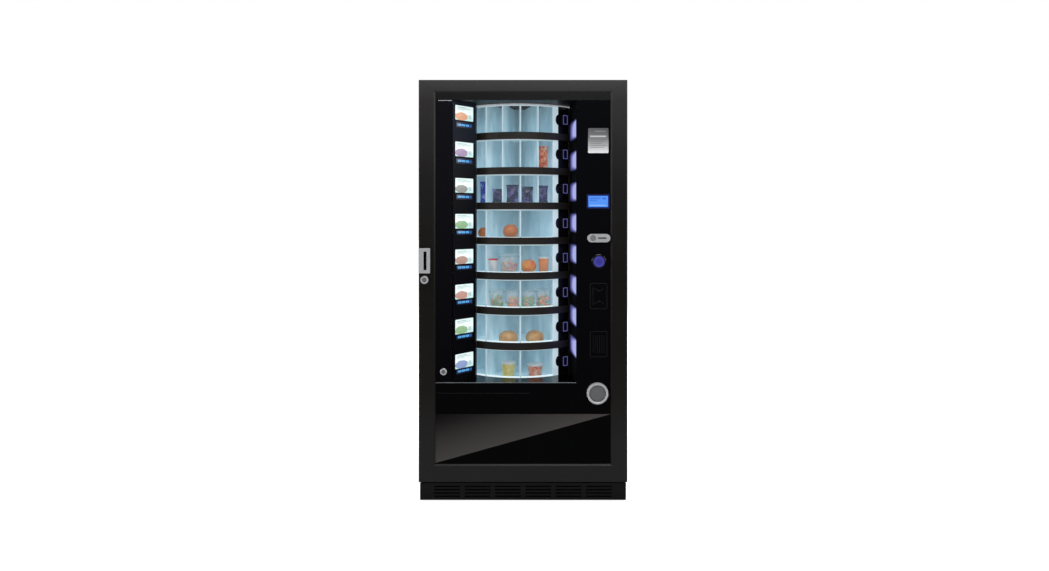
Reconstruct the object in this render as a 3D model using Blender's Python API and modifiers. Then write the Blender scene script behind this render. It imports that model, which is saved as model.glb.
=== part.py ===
"""Refrigerated snack vendor with a turning drum of eight trays behind sliding delivery doors.

Metres, +Z up, the front faces -Y. The origin is the middle of the footprint, on the floor.
Drum angles are in degrees, counted from the front (-Y) towards +X.
"""

import math

import bmesh
import bpy
from mathutils import Matrix, Vector

# ---- overall size
WIDTH = 0.905
HEIGHT = 1.830
BACK_Y = 0.430
PROUD_Y = -0.430          # the trim that stands out furthest
FACE_Y = -0.422           # face of the door frame
PANEL_Y = FACE_Y + 0.006  # face of the panels set into that frame
DOOR_BACK_Y = -0.312
CABINET_FRONT_Y = -0.308
SHEET = 0.003
GAP = 0.0003

# ---- cabinet
CABINET_HALF = 0.4475
WALL = 0.042
CABINET_TOP = 1.826
PLINTH_BOTTOM = 0.045
PLINTH_TOP = 0.080
CHAMBER_FLOOR = (0.445, 0.490)
ROOF = (1.786, CABINET_TOP)
BACK_WALL_Y = 0.388
POWER_INLET = (0.340, 0.115)

# ---- door
DOOR_BOTTOM = 0.0855
FRAME_SIDE = 0.0718
FRAME_TOP = 0.054
FRAME_BOTTOM = 0.0775
INNER_X = WIDTH / 2 - FRAME_SIDE
INNER_TOP = HEIGHT - FRAME_TOP
INNER_BOTTOM = DOOR_BOTTOM + FRAME_BOTTOM
BEVEL = 0.006
WINDOW_LEFT = -0.308
WINDOW_RIGHT = 0.232
WINDOW_TOP = 1.743
SILL_TOP = 0.5173
SILL_BOTTOM = 0.380
LABEL_INNER_X = -0.2125
LABEL_INNER_Y = -0.3205
REVEAL_INNER = (0.2172, -0.2470)   # where the payment panel's slanted reveal ends, in front of the grid
HINGE = (0.4345, -0.367)
PIN_R = 0.006
PIN_HOLE_R = 0.0065

# ---- drum
AXIS_X = -0.0225
AXIS_Y = 0.007
TRAYS = 8
LOWEST_ROW = 0.577
ROW_PITCH = 0.1574
TRAY_R = 0.312
HUB_R = 0.060
SHAFT_R = 0.016
TRAY_BELOW_ROW = 0.076    # underside of a tray below the middle of its row
TRAY_FLOOR = 0.004
RIM_HEIGHT = 0.014
DIVIDER = 0.003
DIVIDER_TOP = 0.074
DIVIDER_PHASE = 2
NARROW_TRAYS = 3          # the top trays, with twice as many dividers
DRUM_STEPS = 24

# ---- curved grid and delivery doors
PANE_R = (0.3275, 0.3325)
PANE_ANGLES = (-34.5, 42)
PANE_HALF = 0.069
GRID_R = (0.3335, 0.345)
GRID_ANGLES = (-35, 44)
BAR_HALF = 0.01575
PULL_ANGLE = 38
PULL_R = 0.352

# ---- drive gears
GEAR_MODULE = 0.004
GEAR_TEETH = 48
PINION_TEETH = 12
GEAR_Z = (0.405, 0.425)

# ---- controls on the payment panel
LCD = (0.3264, 1.3030, 0.0918, 0.0546)
BEZEL = (0.3280, 1.1440, 0.100, 0.036)
COIN_SLOT = (0.3430, 1.1440, 0.036, 0.0056)
RETURN_BUTTON = (0.3030, 1.1440, 0.0115)
ROTATE_BUTTON = (0.3290, 1.0420, 0.0255)
COIN_CUP = (0.3225, 0.4710)
LOCK = (-0.4267, 0.963)
FLAP_LOCK = (-0.3451, 0.5643)
HANDLE_X = (-0.4517, -0.4017)
HANDLE_Z = (0.992, 1.1005)
RECESS_X = (-0.4300, -0.4170)
RECESS_Z = (1.006, 1.086)
RECESS_DEPTH_Y = -0.398

# ---- finishes: colour, roughness, metallic
FINISHES = {
    "frame_paint": ((0.042, 0.038, 0.038), 0.38, 0.3),
    "black_gloss": ((0.008, 0.008, 0.012), 0.12, 0.0),
    "brown_gloss": ((0.030, 0.025, 0.023), 0.25, 0.0),
    "case_paint": ((0.020, 0.020, 0.021), 0.45, 0.0),
    "inner_white": ((0.72, 0.74, 0.75), 0.35, 0.0),
    "grid_black": ((0.018, 0.015, 0.013), 0.40, 0.0),
    "clear_pane": ((0.70, 0.85, 0.88), 0.08, 0.0),
    "tray_white": ((0.80, 0.86, 0.88), 0.30, 0.0),
    "satin_steel": ((0.45, 0.45, 0.46), 0.30, 1.0),
    "zinc": ((0.50, 0.50, 0.48), 0.40, 1.0),
    "cup_grey": ((0.12, 0.12, 0.12), 0.45, 0.0),
    "button_blue": ((0.030, 0.028, 0.20), 0.25, 0.0),
    "screen": ((0.09, 0.29, 0.90), 0.15, 0.0),
    "gasket_rubber": ((0.05, 0.05, 0.05), 0.70, 0.0),
    "machine_black": ((0.015, 0.015, 0.016), 0.50, 0.0),
    "fin_metal": ((0.60, 0.61, 0.62), 0.35, 1.0),
    "gear_plastic": ((0.62, 0.60, 0.55), 0.50, 0.0),
}

ALONG_Y = Matrix.Rotation(math.radians(-90), 4, "X")   # a turned piece's own Z lies along +Y
ACROSS_Y = Matrix.Rotation(math.radians(90), 4, "X")   # an outline in X and Z
ACROSS_X = Matrix(((0, 0, 1, 0), (1, 0, 0, 0), (0, 1, 0, 0), (0, 0, 0, 1)))  # in Y and Z


# ---------------------------------------------------------------- building tools

def clear_scene():
    for obj in list(bpy.data.objects):
        bpy.data.objects.remove(obj)


def collection(name):
    made = bpy.data.collections.new(name)
    bpy.context.scene.collection.children.link(made)
    return made


def material(name, finish):
    colour, roughness, metallic = FINISHES[finish]
    made = bpy.data.materials.new(name)
    made.use_nodes = True
    shader = made.node_tree.nodes["Principled BSDF"]
    shader.inputs["Base Color"].default_value = (*colour, 1)
    shader.inputs["Roughness"].default_value = roughness
    shader.inputs["Metallic"].default_value = metallic
    made.diffuse_color = (*colour, 1)
    return made


def tidy(mesh):
    """Welds a mesh's doubles and turns its faces outwards."""
    work = bmesh.new()
    work.from_mesh(mesh)
    bmesh.ops.remove_doubles(work, verts=work.verts, dist=0.00001)
    bmesh.ops.dissolve_degenerate(work, edges=work.edges, dist=0.000001)
    bmesh.ops.recalc_face_normals(work, faces=work.faces)
    work.to_mesh(mesh)
    work.free()
    return mesh


def placed(name, mesh, matrix, finish):
    """An object in the vendor's collection, or a helper for a Boolean when it has no finish."""
    made = bpy.data.objects.new(name, mesh)
    made.matrix_basis = matrix
    if finish is None:
        helpers.objects.link(made)
        made.hide_render = True
        made.display_type = "WIRE"
    else:
        vendor.objects.link(made)
        mesh.materials.append(material(name, finish))
    return made


def baked(obj, name, matrix, finish):
    """The evaluated shape of a curve or a modified object as a plain mesh object; obj is removed."""
    bpy.context.view_layer.update()
    graph = bpy.context.evaluated_depsgraph_get()
    mesh = bpy.data.meshes.new_from_object(obj.evaluated_get(graph))
    bpy.data.objects.remove(obj)
    mesh.name = name
    return placed(name, tidy(mesh), matrix, finish)


def box(name, low, high, finish=None):
    size = Vector(high) - Vector(low)
    work = bmesh.new()
    bmesh.ops.create_cube(work, size=1, matrix=Matrix.Diagonal((*size, 1)))
    mesh = bpy.data.meshes.new(name)
    work.to_mesh(mesh)
    work.free()
    return placed(name, mesh, Matrix.Translation((Vector(low) + Vector(high)) / 2), finish)


def cylinder(name, centre, radius, low, high, axis="Y", finish=None, sides=24):
    """A round bar from low to high along an axis; centre gives its two other coordinates."""
    x, y = centre
    middle = (low + high) / 2
    place = Matrix.Translation((x, middle, y)) @ ALONG_Y if axis == "Y" else Matrix.Translation((x, y, middle))
    work = bmesh.new()
    bmesh.ops.create_cone(
        work, cap_ends=True, segments=sides, radius1=radius, radius2=radius, depth=high - low
    )
    mesh = bpy.data.meshes.new(name)
    work.to_mesh(mesh)
    work.free()
    return placed(name, mesh, place, finish)


def turned(name, profile, place, finish=None, steps=20):
    """A profile of (radius, height) points turned about its own Z, then put at its place.

    A closed profile ends on its first point; one that starts and ends on the axis is closed by turning.
    """
    mesh = bpy.data.meshes.new(name)
    closed = profile[0] == profile[-1]
    points = profile[:-1] if closed else profile
    edges = [(i, i + 1) for i in range(len(points) - 1)] + ([(len(points) - 1, 0)] if closed else [])
    mesh.from_pydata([(r, 0, z) for r, z in points], edges, [])
    work = bpy.data.objects.new(name, mesh)
    helpers.objects.link(work)
    screw = work.modifiers.new("Turn", "SCREW")
    screw.steps = screw.render_steps = steps
    screw.use_merge_vertices = True
    screw.merge_threshold = 0.00001
    made = baked(work, name, place, finish)
    made.data.shade_smooth()
    made.data.set_sharp_from_angle(angle=math.radians(35))
    return made


def plate(name, outlines, low, high, turn=Matrix(), finish=None):
    """A flat shape of one outline and its holes, with its faces at low and high along its own Z."""
    curve = bpy.data.curves.new(name, "CURVE")
    curve.dimensions = "2D"
    curve.fill_mode = "BOTH"
    curve.extrude = (high - low) / 2
    for outline in outlines:
        spline = curve.splines.new("POLY")
        spline.points.add(len(outline) - 1)
        for point, (x, y) in zip(spline.points, outline):
            point.co = (x, y, 0, 1)
        spline.use_cyclic_u = True
    work = bpy.data.objects.new(name, curve)
    helpers.objects.link(work)
    return baked(work, name, Matrix.Translation(along(turn, (low + high) / 2)) @ turn, finish)


def along(turn, distance):
    """The point that lies at a distance along the world axis on which a turned plate's thickness lies."""
    axis = turn.to_3x3() @ Vector((0, 0, 1))
    return Vector((abs(axis.x), abs(axis.y), abs(axis.z))) * distance


def rectangle(x0, x1, y0, y1):
    return [(x0, y0), (x1, y0), (x1, y1), (x0, y1)]


def circle(x, y, radius, sides=24):
    turn = 2 * math.pi / sides
    return [(x + radius * math.cos(i * turn), y + radius * math.sin(i * turn)) for i in range(sides)]


def pill(x, y, width, height, steps=8):
    """A bar with round ends."""
    radius = height / 2
    reach = width / 2 - radius
    points = []
    for i in range(2 * steps + 2):
        angle = math.pi * (i if i <= steps else i - 1) / steps - math.pi / 2
        side = reach if i <= steps else -reach
        points.append((x + side + radius * math.cos(angle), y + radius * math.sin(angle)))
    return points


def band(points, thickness):
    """The outline of a folded sheet: an open line of points and its copy set off to the left."""
    offset = []
    for i, point in enumerate(points):
        here = Vector(point)
        before = (here - Vector(points[i - 1])).normalized() if i else None
        after = (Vector(points[i + 1]) - here).normalized() if i < len(points) - 1 else None
        before = before or after
        after = after or before
        normal = Vector((-before.y - after.y, before.x + after.x)).normalized()
        reach = thickness / normal.dot(Vector((-before.y, before.x)))
        offset.append(tuple(here + normal * reach))
    return list(points) + offset[::-1]


def around(radius, angle):
    """The point at a radius and a drum angle, in X and Y."""
    turn = math.radians(angle)
    return (AXIS_X + radius * math.sin(turn), AXIS_Y - radius * math.cos(turn))


def arc(radius, start, end, step=5):
    count = max(1, math.ceil(abs(end - start) / step))
    return [around(radius, start + (end - start) * i / count) for i in range(count + 1)]


def sector(radii, angles):
    return arc(radii[1], *angles) + arc(radii[0], *angles[::-1])


def boolean(obj, other, operation):
    change = obj.modifiers.new(operation.title(), "BOOLEAN")
    change.operation = operation
    change.object = other
    return obj


def cut(obj, other):
    return boolean(obj, other, "DIFFERENCE")


def join(obj, other):
    return boolean(obj, other, "UNION")


def mitre(obj, point, away):
    """Cuts off what lies past a plane that stands along Y, and closes the end."""
    inverse = obj.matrix_basis.inverted()
    work = bmesh.new()
    work.from_mesh(obj.data)
    found = bmesh.ops.bisect_plane(
        work,
        geom=[*work.verts, *work.edges, *work.faces],
        plane_co=inverse @ Vector(point),
        plane_no=inverse.to_3x3() @ Vector(away),
        clear_outer=True,
    )
    rim = [item for item in found["geom_cut"] if isinstance(item, bmesh.types.BMEdge)]
    bmesh.ops.contextual_create(work, geom=rim)
    bmesh.ops.triangulate(work, faces=work.faces)
    work.to_mesh(obj.data)
    work.free()
    tidy(obj.data)
    return obj


def pivot(name, place, parent=None):
    """An empty on a joint's axis, which the moving pieces hang from."""
    made = bpy.data.objects.new(name, None)
    vendor.objects.link(made)
    made.matrix_basis = Matrix.Translation(place)
    made.empty_display_size = 0.05
    if parent:
        hang([made], parent)
    return made


def hang(pieces, parent):
    bpy.context.view_layer.update()
    for piece in pieces:
        piece.parent = parent
        piece.matrix_parent_inverse = parent.matrix_world.inverted()


# ---------------------------------------------------------------- cabinet

def cabinet():
    bottom = PLINTH_TOP + GAP
    inner = CABINET_HALF - WALL
    pieces = []
    for side, name in ((-1, "side_panel_left"), (1, "side_panel_right")):
        x0, x1 = sorted((side * inner, side * CABINET_HALF))
        pieces.append(box(name, (x0, CABINET_FRONT_Y, bottom), (x1, BACK_Y, CABINET_TOP), "case_paint"))
    fit = inner - GAP
    roof = box("top_panel", (-fit, CABINET_FRONT_Y, ROOF[0]), (fit, BACK_Y, ROOF[1]), "case_paint")
    boss = cylinder("bearing_boss", (AXIS_X, AXIS_Y), 0.045, ROOF[0] - 0.016, ROOF[0] + 0.002, "Z")
    seat = cylinder("bearing_seat", (AXIS_X, AXIS_Y), SHAFT_R + 0.0005, ROOF[0] - 0.02, ROOF[0] - 0.004, "Z")
    pieces.append(cut(join(roof, boss), seat))
    pieces.append(back_panel(fit, bottom))
    floor_low = (-fit, CABINET_FRONT_Y, CHAMBER_FLOOR[0])
    floor = box("chamber_floor", floor_low, (fit, BACK_WALL_Y - GAP, CHAMBER_FLOOR[1]), "inner_white")
    passage = cylinder("shaft_passage", (AXIS_X, AXIS_Y), 0.022, 0.43, 0.50, "Z")
    pieces.append(cut(floor, passage))
    return pieces + [base_pan(), kick_grille(), *feet(), *hinge_brackets()]


def back_panel(half, bottom):
    """The insulated rear wall, with the pinned power inlet sunk in its lower corner."""
    wall = box("back_panel", (-half, BACK_WALL_Y, bottom), (half, BACK_Y, ROOF[0] - GAP), "case_paint")
    x, z = POWER_INLET
    wide, tall = 0.0135, 0.0095
    floor = BACK_Y - 0.020
    cut(wall, box("inlet_well", (x - wide, floor, z - tall), (x + wide, BACK_Y + 0.01, z + tall)))
    for side, lift in ((-1, -0.002), (0, 0.002), (1, -0.002)):
        low = (x + side * 0.007 - 0.001, floor - 0.001, z + lift - 0.002)
        join(wall, box("inlet_pin", low, (low[0] + 0.002, BACK_Y - 0.006, low[2] + 0.004)))
    return wall


def base_pan():
    """A shallow tray that carries the cooling unit."""
    low = (-CABINET_HALF, CABINET_FRONT_Y, PLINTH_BOTTOM)
    pan = box("base_pan", low, (CABINET_HALF, BACK_Y - GAP, PLINTH_TOP), "case_paint")
    wall = 0.004
    inside = box(
        "pan_inside",
        (low[0] + wall, low[1] + wall, low[2] + wall),
        (-low[0] - wall, BACK_Y - GAP - wall, PLINTH_TOP + 0.01),
    )
    return cut(pan, inside)


def feet():
    profile = [(0, 0), (0.027, 0), (0.030, 0.003), (0.030, 0.009), (0.012, 0.014), (0.012, 0.0445), (0, 0.0445)]
    made = []
    for depth, y in (("front", -0.26), ("rear", 0.38)):
        for side, x in (("left", -0.39), ("right", 0.39)):
            place = Matrix.Translation((x, y, 0))
            made.append(turned(f"foot_{depth}_{side}", profile, place, "machine_black", 20))
    return made


def kick_grille():
    """The plinth cover: a slotted front with a return at each side."""
    half = CABINET_HALF
    low, high = 0.006, PLINTH_TOP
    front = (-0.414, -0.410)
    rows = 4
    columns = 6
    row_pitch = 0.0144
    first_row = 0.0215
    column_pitch = 0.132
    slot = (0.112, 0.0070)
    outlines = [rectangle(-half, half, low, high)]
    for row in range(rows):
        for column in range(columns):
            x = (column - (columns - 1) / 2) * column_pitch
            z = first_row + row * row_pitch
            outlines.append(rectangle(x - slot[0] / 2, x + slot[0] / 2, z - slot[1] / 2, z + slot[1] / 2))
    grille = plate("kick_grille", outlines, *front, ACROSS_Y, "machine_black")
    inset = 0.0005
    for side in (-1, 1):
        x0, x1 = sorted((side * (half - inset), side * (half - SHEET)))
        start = (x0, front[0] + 0.001, low + inset)
        join(grille, box("grille_return", start, (x1, CABINET_FRONT_Y - GAP, high - inset)))
    return grille


def hinge_brackets():
    """A bracket below the door and one in its top corner, each with a pin on the door's axis."""
    x, y = HINGE
    back = CABINET_FRONT_Y - GAP
    front = y - 0.014
    edge = CABINET_HALF - SHEET - 2 * GAP
    tongue = (PLINTH_TOP + 0.0005, DOOR_BOTTOM - GAP)
    lower = box("hinge_bracket_lower", (0.410, front, tongue[0]), (edge, back, tongue[1]), "zinc")
    join(lower, box("lower_flange", (0.410, back - 0.004, 0.050), (edge, back, tongue[1])))
    join(lower, cylinder("lower_pin", HINGE, PIN_R, 0.083, 0.102, "Z", sides=20))
    arm = (1.800, 1.805)
    upper = box("hinge_bracket_upper", (0.4265, front, arm[0]), (CABINET_HALF, y + 0.030, arm[1]), "zinc")
    join(upper, box("upper_reach", (0.4387, y + 0.025, arm[0]), (CABINET_HALF, back, arm[1])))
    join(upper, box("upper_flange", (0.4387, back - 0.0032, 1.750), (CABINET_HALF, back, arm[1])))
    join(upper, cylinder("upper_pin", HINGE, PIN_R, arm[1] - 0.001, HEIGHT - 0.0008, "Z", sides=20))
    return [lower, upper]


# ---------------------------------------------------------------- cooling unit and drive

def cooling_unit():
    floor = PLINTH_BOTTOM + 0.004 + GAP
    shell = [
        (0, floor), (0.070, floor), (0.070, floor + 0.012), (0.088, floor + 0.030), (0.090, floor + 0.120),
        (0.080, floor + 0.165), (0.050, floor + 0.190), (0, floor + 0.197),
    ]
    compressor = turned("compressor", shell, Matrix.Translation((-0.22, 0.16, 0)), "machine_black")
    condenser = box("condenser", (0.08, -0.210, floor), (0.38, -0.160, 0.330), "fin_metal")
    join(condenser, box("fan_bar", (0.08, -0.162, 0.170), (0.38, -0.150, 0.198)))
    inner = CABINET_HALF - WALL - GAP
    evaporator_low = (-inner, 0.275, 0.560)
    evaporator = box("evaporator", evaporator_low, (-0.290, BACK_WALL_Y - GAP, 1.640), "fin_metal")
    return [compressor, condenser, evaporator]


def condenser_fan():
    """A hub with five pitched blades, turning about Y."""
    x, y, z = 0.230, -0.130, 0.184
    blades = 5
    fan = cylinder("condenser_fan", (x, z), 0.024, -0.1497, -0.112, "Y", "machine_black", 24)
    for i in range(blades):
        blade = box("fan_blade", (0.018, -0.002, -0.020), (0.098, 0.002, 0.020))
        spin = Matrix.Rotation(i * 2 * math.pi / blades, 4, "Y")
        pitch = Matrix.Rotation(math.radians(62), 4, "X")
        blade.matrix_basis = Matrix.Translation((x, y, z)) @ spin @ pitch @ blade.matrix_basis
        join(fan, blade)
    hang([fan], pivot("fan_axis", (x, y, z)))
    return fan


def gear_outline(teeth, first_angle):
    """Straight-sided teeth, narrow enough to run with clearance."""
    pitch_r = GEAR_MODULE * teeth / 2
    root = pitch_r - 1.15 * GEAR_MODULE
    tip = pitch_r + 0.80 * GEAR_MODULE
    step = 2 * math.pi / teeth
    points = []
    for i in range(teeth):
        middle = first_angle + i * step
        for radius, share in ((root, -0.30), (tip, -0.10), (tip, 0.10), (root, 0.30)):
            angle = middle + share * step
            points.append((radius * math.cos(angle), radius * math.sin(angle)))
    return points


def moved(points, x, y):
    return [(px + x, py + y) for px, py in points]


def drive():
    """Gear on the shaft, pinion behind it, and the motor hung from the chamber floor."""
    bore = circle(AXIS_X, AXIS_Y, SHAFT_R + GAP, 32)
    gear = moved(gear_outline(GEAR_TEETH, 0), AXIS_X, AXIS_Y)
    gear = plate("drum_gear", [gear, bore], *GEAR_Z, finish="gear_plastic")
    pinion_y = AXIS_Y + GEAR_MODULE * (GEAR_TEETH + PINION_TEETH) / 2 + 0.0006
    teeth = moved(gear_outline(PINION_TEETH, math.pi / PINION_TEETH), AXIS_X, pinion_y)
    pinion = plate("drive_pinion", [teeth], *GEAR_Z, finish="zinc")
    join(pinion, cylinder("pinion_shaft", (AXIS_X, pinion_y), 0.008, 0.3953, 0.407, "Z", sides=20))
    hang([pinion], pivot("pinion_axis", (AXIS_X, pinion_y, GEAR_Z[0])))
    case = [(0, 0.290), (0.040, 0.290), (0.043, 0.294), (0.043, 0.390), (0.040, 0.395), (0, 0.395)]
    motor = turned("drive_motor", case, Matrix.Translation((AXIS_X, pinion_y, 0)), "machine_black")
    post_y = pinion_y + 0.034
    top = CHAMBER_FLOOR[0] - GAP
    join(motor, box("motor_post", (AXIS_X - 0.03, post_y, 0.32), (AXIS_X + 0.03, post_y + 0.02, top)))
    bearing = [(0.0165, 0.4903), (0.045, 0.4903), (0.045, 0.4960), (0.034, 0.5005), (0.0165, 0.5005), (0.0165, 0.4903)]
    lower = turned("lower_bearing", bearing, Matrix.Translation((AXIS_X, AXIS_Y, 0)), "zinc")
    return gear, pinion, motor, lower


# ---------------------------------------------------------------- drum

def row_middle(number):
    """Height of the middle of a row; row 1 is the top one."""
    return LOWEST_ROW + (TRAYS - number) * ROW_PITCH


def star(arms):
    """A hub with radial dividers, seen from above."""
    points = []
    half = DIVIDER / 2
    hub = HUB_R - 0.002
    reach = TRAY_R - 0.0015
    for i in range(arms):
        angle = math.radians(DIVIDER_PHASE - 90 + i * 360 / arms)
        out = Vector((math.cos(angle), math.sin(angle)))
        side = Vector((-out.y, out.x)) * half
        for radius, edge in ((hub, -side), (reach, -side), (reach, side), (hub, side)):
            points.append(tuple(out * radius + edge))
    return points


def tray(number):
    """Floor disc, rim, hub sleeve and upright dividers of one tray."""
    low = row_middle(number) - TRAY_BELOW_ROW
    top = TRAY_FLOOR
    bore = SHAFT_R + GAP
    sleeve = ROW_PITCH - GAP
    profile = [
        (bore, 0), (TRAY_R, 0), (TRAY_R, RIM_HEIGHT), (TRAY_R - 0.003, RIM_HEIGHT), (TRAY_R - 0.003, top),
        (HUB_R, top), (HUB_R, sleeve), (bore, sleeve), (bore, 0),
    ]
    place = Matrix.Translation((AXIS_X, AXIS_Y, low))
    made = turned(f"tray_{number}", profile, place, "tray_white", DRUM_STEPS)
    arms = 24 if number <= NARROW_TRAYS else 12
    height = TRAY_BELOW_ROW + DIVIDER_TOP
    dividers = plate("dividers", [star(arms), circle(0, 0, HUB_R - 0.02, DRUM_STEPS)], top - 0.001, height)
    dividers.matrix_basis = place @ dividers.matrix_basis
    return join(made, dividers)


def drum():
    shaft = cylinder("drum_shaft", (AXIS_X, AXIS_Y), SHAFT_R, 0.398, ROOF[0] - 0.0045, "Z", "satin_steel")
    return [shaft] + [tray(number) for number in range(1, TRAYS + 1)]


# ---------------------------------------------------------------- door

def stile(name, side):
    """An upright of the door frame: folded sheet, open to the rear, mitred at both ends."""
    outer = WIDTH / 2
    fold = [
        (INNER_X, DOOR_BACK_Y), (INNER_X, PANEL_Y), (INNER_X + BEVEL, FACE_Y),
        (outer - SHEET, FACE_Y), (outer, FACE_Y + SHEET), (outer, DOOR_BACK_Y),
    ]
    outline = [(side * x, y) for x, y in band(fold, SHEET)]
    made = plate(name, [outline], DOOR_BOTTOM - 0.01, HEIGHT + 0.01, finish="frame_paint")
    top = Vector((FRAME_TOP, 0, FRAME_SIDE))
    bottom = Vector((FRAME_BOTTOM, 0, -FRAME_SIDE))
    for corner, away in ((INNER_TOP, top), (INNER_BOTTOM, bottom)):
        away = Vector((-side * away.x, 0, away.z)).normalized()
        point = Vector((side * INNER_X, 0, corner)) - away * GAP / 2
        mitre(made, point, away)
    return made


def rail(name, outer, inner, away):
    """A cross rail of the door frame, mitred to the stiles; away is +1 for the top and -1 for the bottom."""
    fold = [
        (DOOR_BACK_Y, inner), (PANEL_Y, inner), (FACE_Y, inner + away * BEVEL),
        (FACE_Y, outer - away * SHEET), (FACE_Y + SHEET, outer), (DOOR_BACK_Y, outer),
    ]
    outline = band(fold, -SHEET * away)
    made = plate(name, [outline], -WIDTH / 2 - 0.01, WIDTH / 2 + 0.01, ACROSS_X, "frame_paint")
    height = abs(outer - inner)
    for side in (-1, 1):
        past = Vector((side * height, 0, -away * FRAME_SIDE)).normalized()
        point = Vector((side * INNER_X, 0, inner)) - past * GAP / 2
        mitre(made, point, past)
    return made


def shelf(name, low, high, front):
    """A flat plate between the panels and the curved grid."""
    clear = GRID_R[1] + 0.0015
    half = math.asin((AXIS_X - WINDOW_LEFT - 0.10) / clear)
    left = math.degrees(-half)
    right = math.degrees(math.asin((WINDOW_RIGHT - 0.002 - AXIS_X) / clear))
    edge = arc(clear, right, left)
    points = [(WINDOW_LEFT, front), (WINDOW_RIGHT - GAP, front), (WINDOW_RIGHT - GAP, edge[0][1]), *edge]
    return plate(name, [points], low, high)


def door_frame():
    left = stile("frame_stile_left", -1)
    right = stile("frame_stile_right", 1)
    arm_slot = box("arm_slot", (0.440, HINGE[1] - 0.030, 1.794), (0.460, -0.300, 1.811))
    cut(right, arm_slot)
    mouth = 0.0006
    recess = (RECESS_X[0] - SHEET - mouth, FACE_Y - 0.01, RECESS_Z[0] - SHEET - mouth)
    recess_end = (RECESS_X[1] + SHEET + mouth, FACE_Y + 0.01, RECESS_Z[1] + SHEET + mouth)
    cut(left, box("handle_mouth", recess, recess_end))
    cut(left, cylinder("lock_hole", LOCK, 0.0125, FACE_Y - 0.01, FACE_Y + 0.01))
    top = rail("frame_rail_top", HEIGHT, INNER_TOP, 1)
    strip = (-INNER_X + GAP, PANEL_Y, WINDOW_TOP)
    join(top, box("header_strip", strip, (INNER_X - GAP, PANEL_Y + SHEET, INNER_TOP + 0.002)))
    join(top, shelf("soffit", WINDOW_TOP, WINDOW_TOP + SHEET, PANEL_Y + 0.001))
    bottom = rail("frame_rail_bottom", DOOR_BOTTOM, INNER_BOTTOM, -1)
    for piece in (top, bottom):
        cut(piece, cylinder("pin_hole", HINGE, PIN_HOLE_R, 0.0, 0.2, "Z", sides=20))
        cut(piece, cylinder("pin_hole", HINGE, PIN_HOLE_R, 1.75, 1.90, "Z", sides=20))
    return [left, right, top, bottom]


def door_panels():
    edge = INNER_X - GAP
    face = (PANEL_Y, PANEL_Y + SHEET)
    fold = [REVEAL_INNER, (WINDOW_RIGHT + SHEET, PANEL_Y + SHEET), (edge, PANEL_Y + SHEET)]
    outline = band(fold, -SHEET)
    payment = plate("payment_panel", [outline], SILL_BOTTOM + GAP, WINDOW_TOP - GAP, finish="black_gloss")
    behind_face = PANEL_Y + SHEET + 0.0005
    low_corner = (REVEAL_INNER[0] - 0.02, behind_face, SILL_BOTTOM - 0.05)
    cut(payment, box("reveal_trim", low_corner, (WINDOW_RIGHT + 0.02, -0.2, SILL_TOP + GAP)))
    through = (PANEL_Y - 0.01, PANEL_Y + 0.01)
    x, z, width, height = LCD
    half = (width / 2 + 0.0004, height / 2 + 0.0004)
    cut(payment, box("lcd_hole", (x - half[0], through[0], z - half[1]), (x + half[0], through[1], z + half[1])))
    x, z, width, height = COIN_SLOT
    cut(payment, plate("slot_hole", [rectangle(x - width / 2, x + width / 2, z - height / 2, z + height / 2)],
                       *through, ACROSS_Y))
    for (x, z), radius in (
        (RETURN_BUTTON[:2], RETURN_BUTTON[2] + 0.0006),
        (ROTATE_BUTTON[:2], ROTATE_BUTTON[2] + 0.0006),
        (COIN_CUP, 0.0440),
    ):
        cut(payment, cylinder("round_hole", (x, z), radius, *through))
    sill_face = (-edge, face[0], SILL_BOTTOM + GAP)
    sill = box("sill_panel", sill_face, (WINDOW_RIGHT - GAP, face[1], SILL_TOP), "black_gloss")
    join(sill, shelf("sill_shelf", SILL_TOP - SHEET, SILL_TOP, PANEL_Y + 0.001))
    lower_face = (-edge, face[0], INNER_BOTTOM + GAP)
    lower = box("lower_panel", lower_face, (edge, face[1], SILL_BOTTOM - GAP), "brown_gloss")
    fold = [(LABEL_INNER_X, -0.2845), (LABEL_INNER_X, LABEL_INNER_Y), (WINDOW_LEFT + 0.0025, PANEL_Y + 0.0025)]
    outline = band(fold, -SHEET)
    labels = plate("label_strip", [outline], SILL_TOP + GAP, WINDOW_TOP - GAP, finish="black_gloss")
    return [payment, sill, lower, labels]


def door_grid():
    """Nine curved bars held by an upright at each end."""
    made = None
    for gap in range(TRAYS + 1):
        middle = LOWEST_ROW + (gap - 0.5) * ROW_PITCH
        low = middle - BAR_HALF if gap else middle - 0.002
        high = middle + BAR_HALF if gap < TRAYS else middle + 0.0025
        outline = sector(GRID_R, GRID_ANGLES)
        if made is None:
            made = plate("door_grid", [outline], low, high, finish="grid_black")
        else:
            join(made, plate("grid_bar", [outline], low, high))
    low = LOWEST_ROW - 0.5 * ROW_PITCH - 0.0015
    high = LOWEST_ROW + (TRAYS - 0.5) * ROW_PITCH + 0.002
    for start, end in ((GRID_ANGLES[0] - 3, GRID_ANGLES[0] + 0.5), (GRID_ANGLES[1] - 0.5, GRID_ANGLES[1] + 2)):
        join(made, plate("grid_post", [sector(GRID_R, (start, end))], low, high))
    return made


def door_back():
    """The inner cover with its window, and the magnetic seal round the cold chamber."""
    edge = INNER_X - GAP
    sheet = rectangle(-edge, edge, INNER_BOTTOM + GAP, INNER_TOP - GAP)
    window = rectangle(-0.2500, WINDOW_RIGHT + SHEET + GAP, 0.4900, 1.7660)
    liner = plate("door_liner", [sheet, window], -0.3168, -0.3125, ACROSS_Y, "inner_white")
    outer = rectangle(-0.4380, 0.4380, 0.4480, 1.8200)
    inner = rectangle(-0.4080, 0.4080, 0.4860, 1.7890)
    gasket = plate("door_gasket", [outer, inner], DOOR_BACK_Y + 0.0003, CABINET_FRONT_Y - GAP, ACROSS_Y, "gasket_rubber")
    return [liner, gasket]


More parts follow.
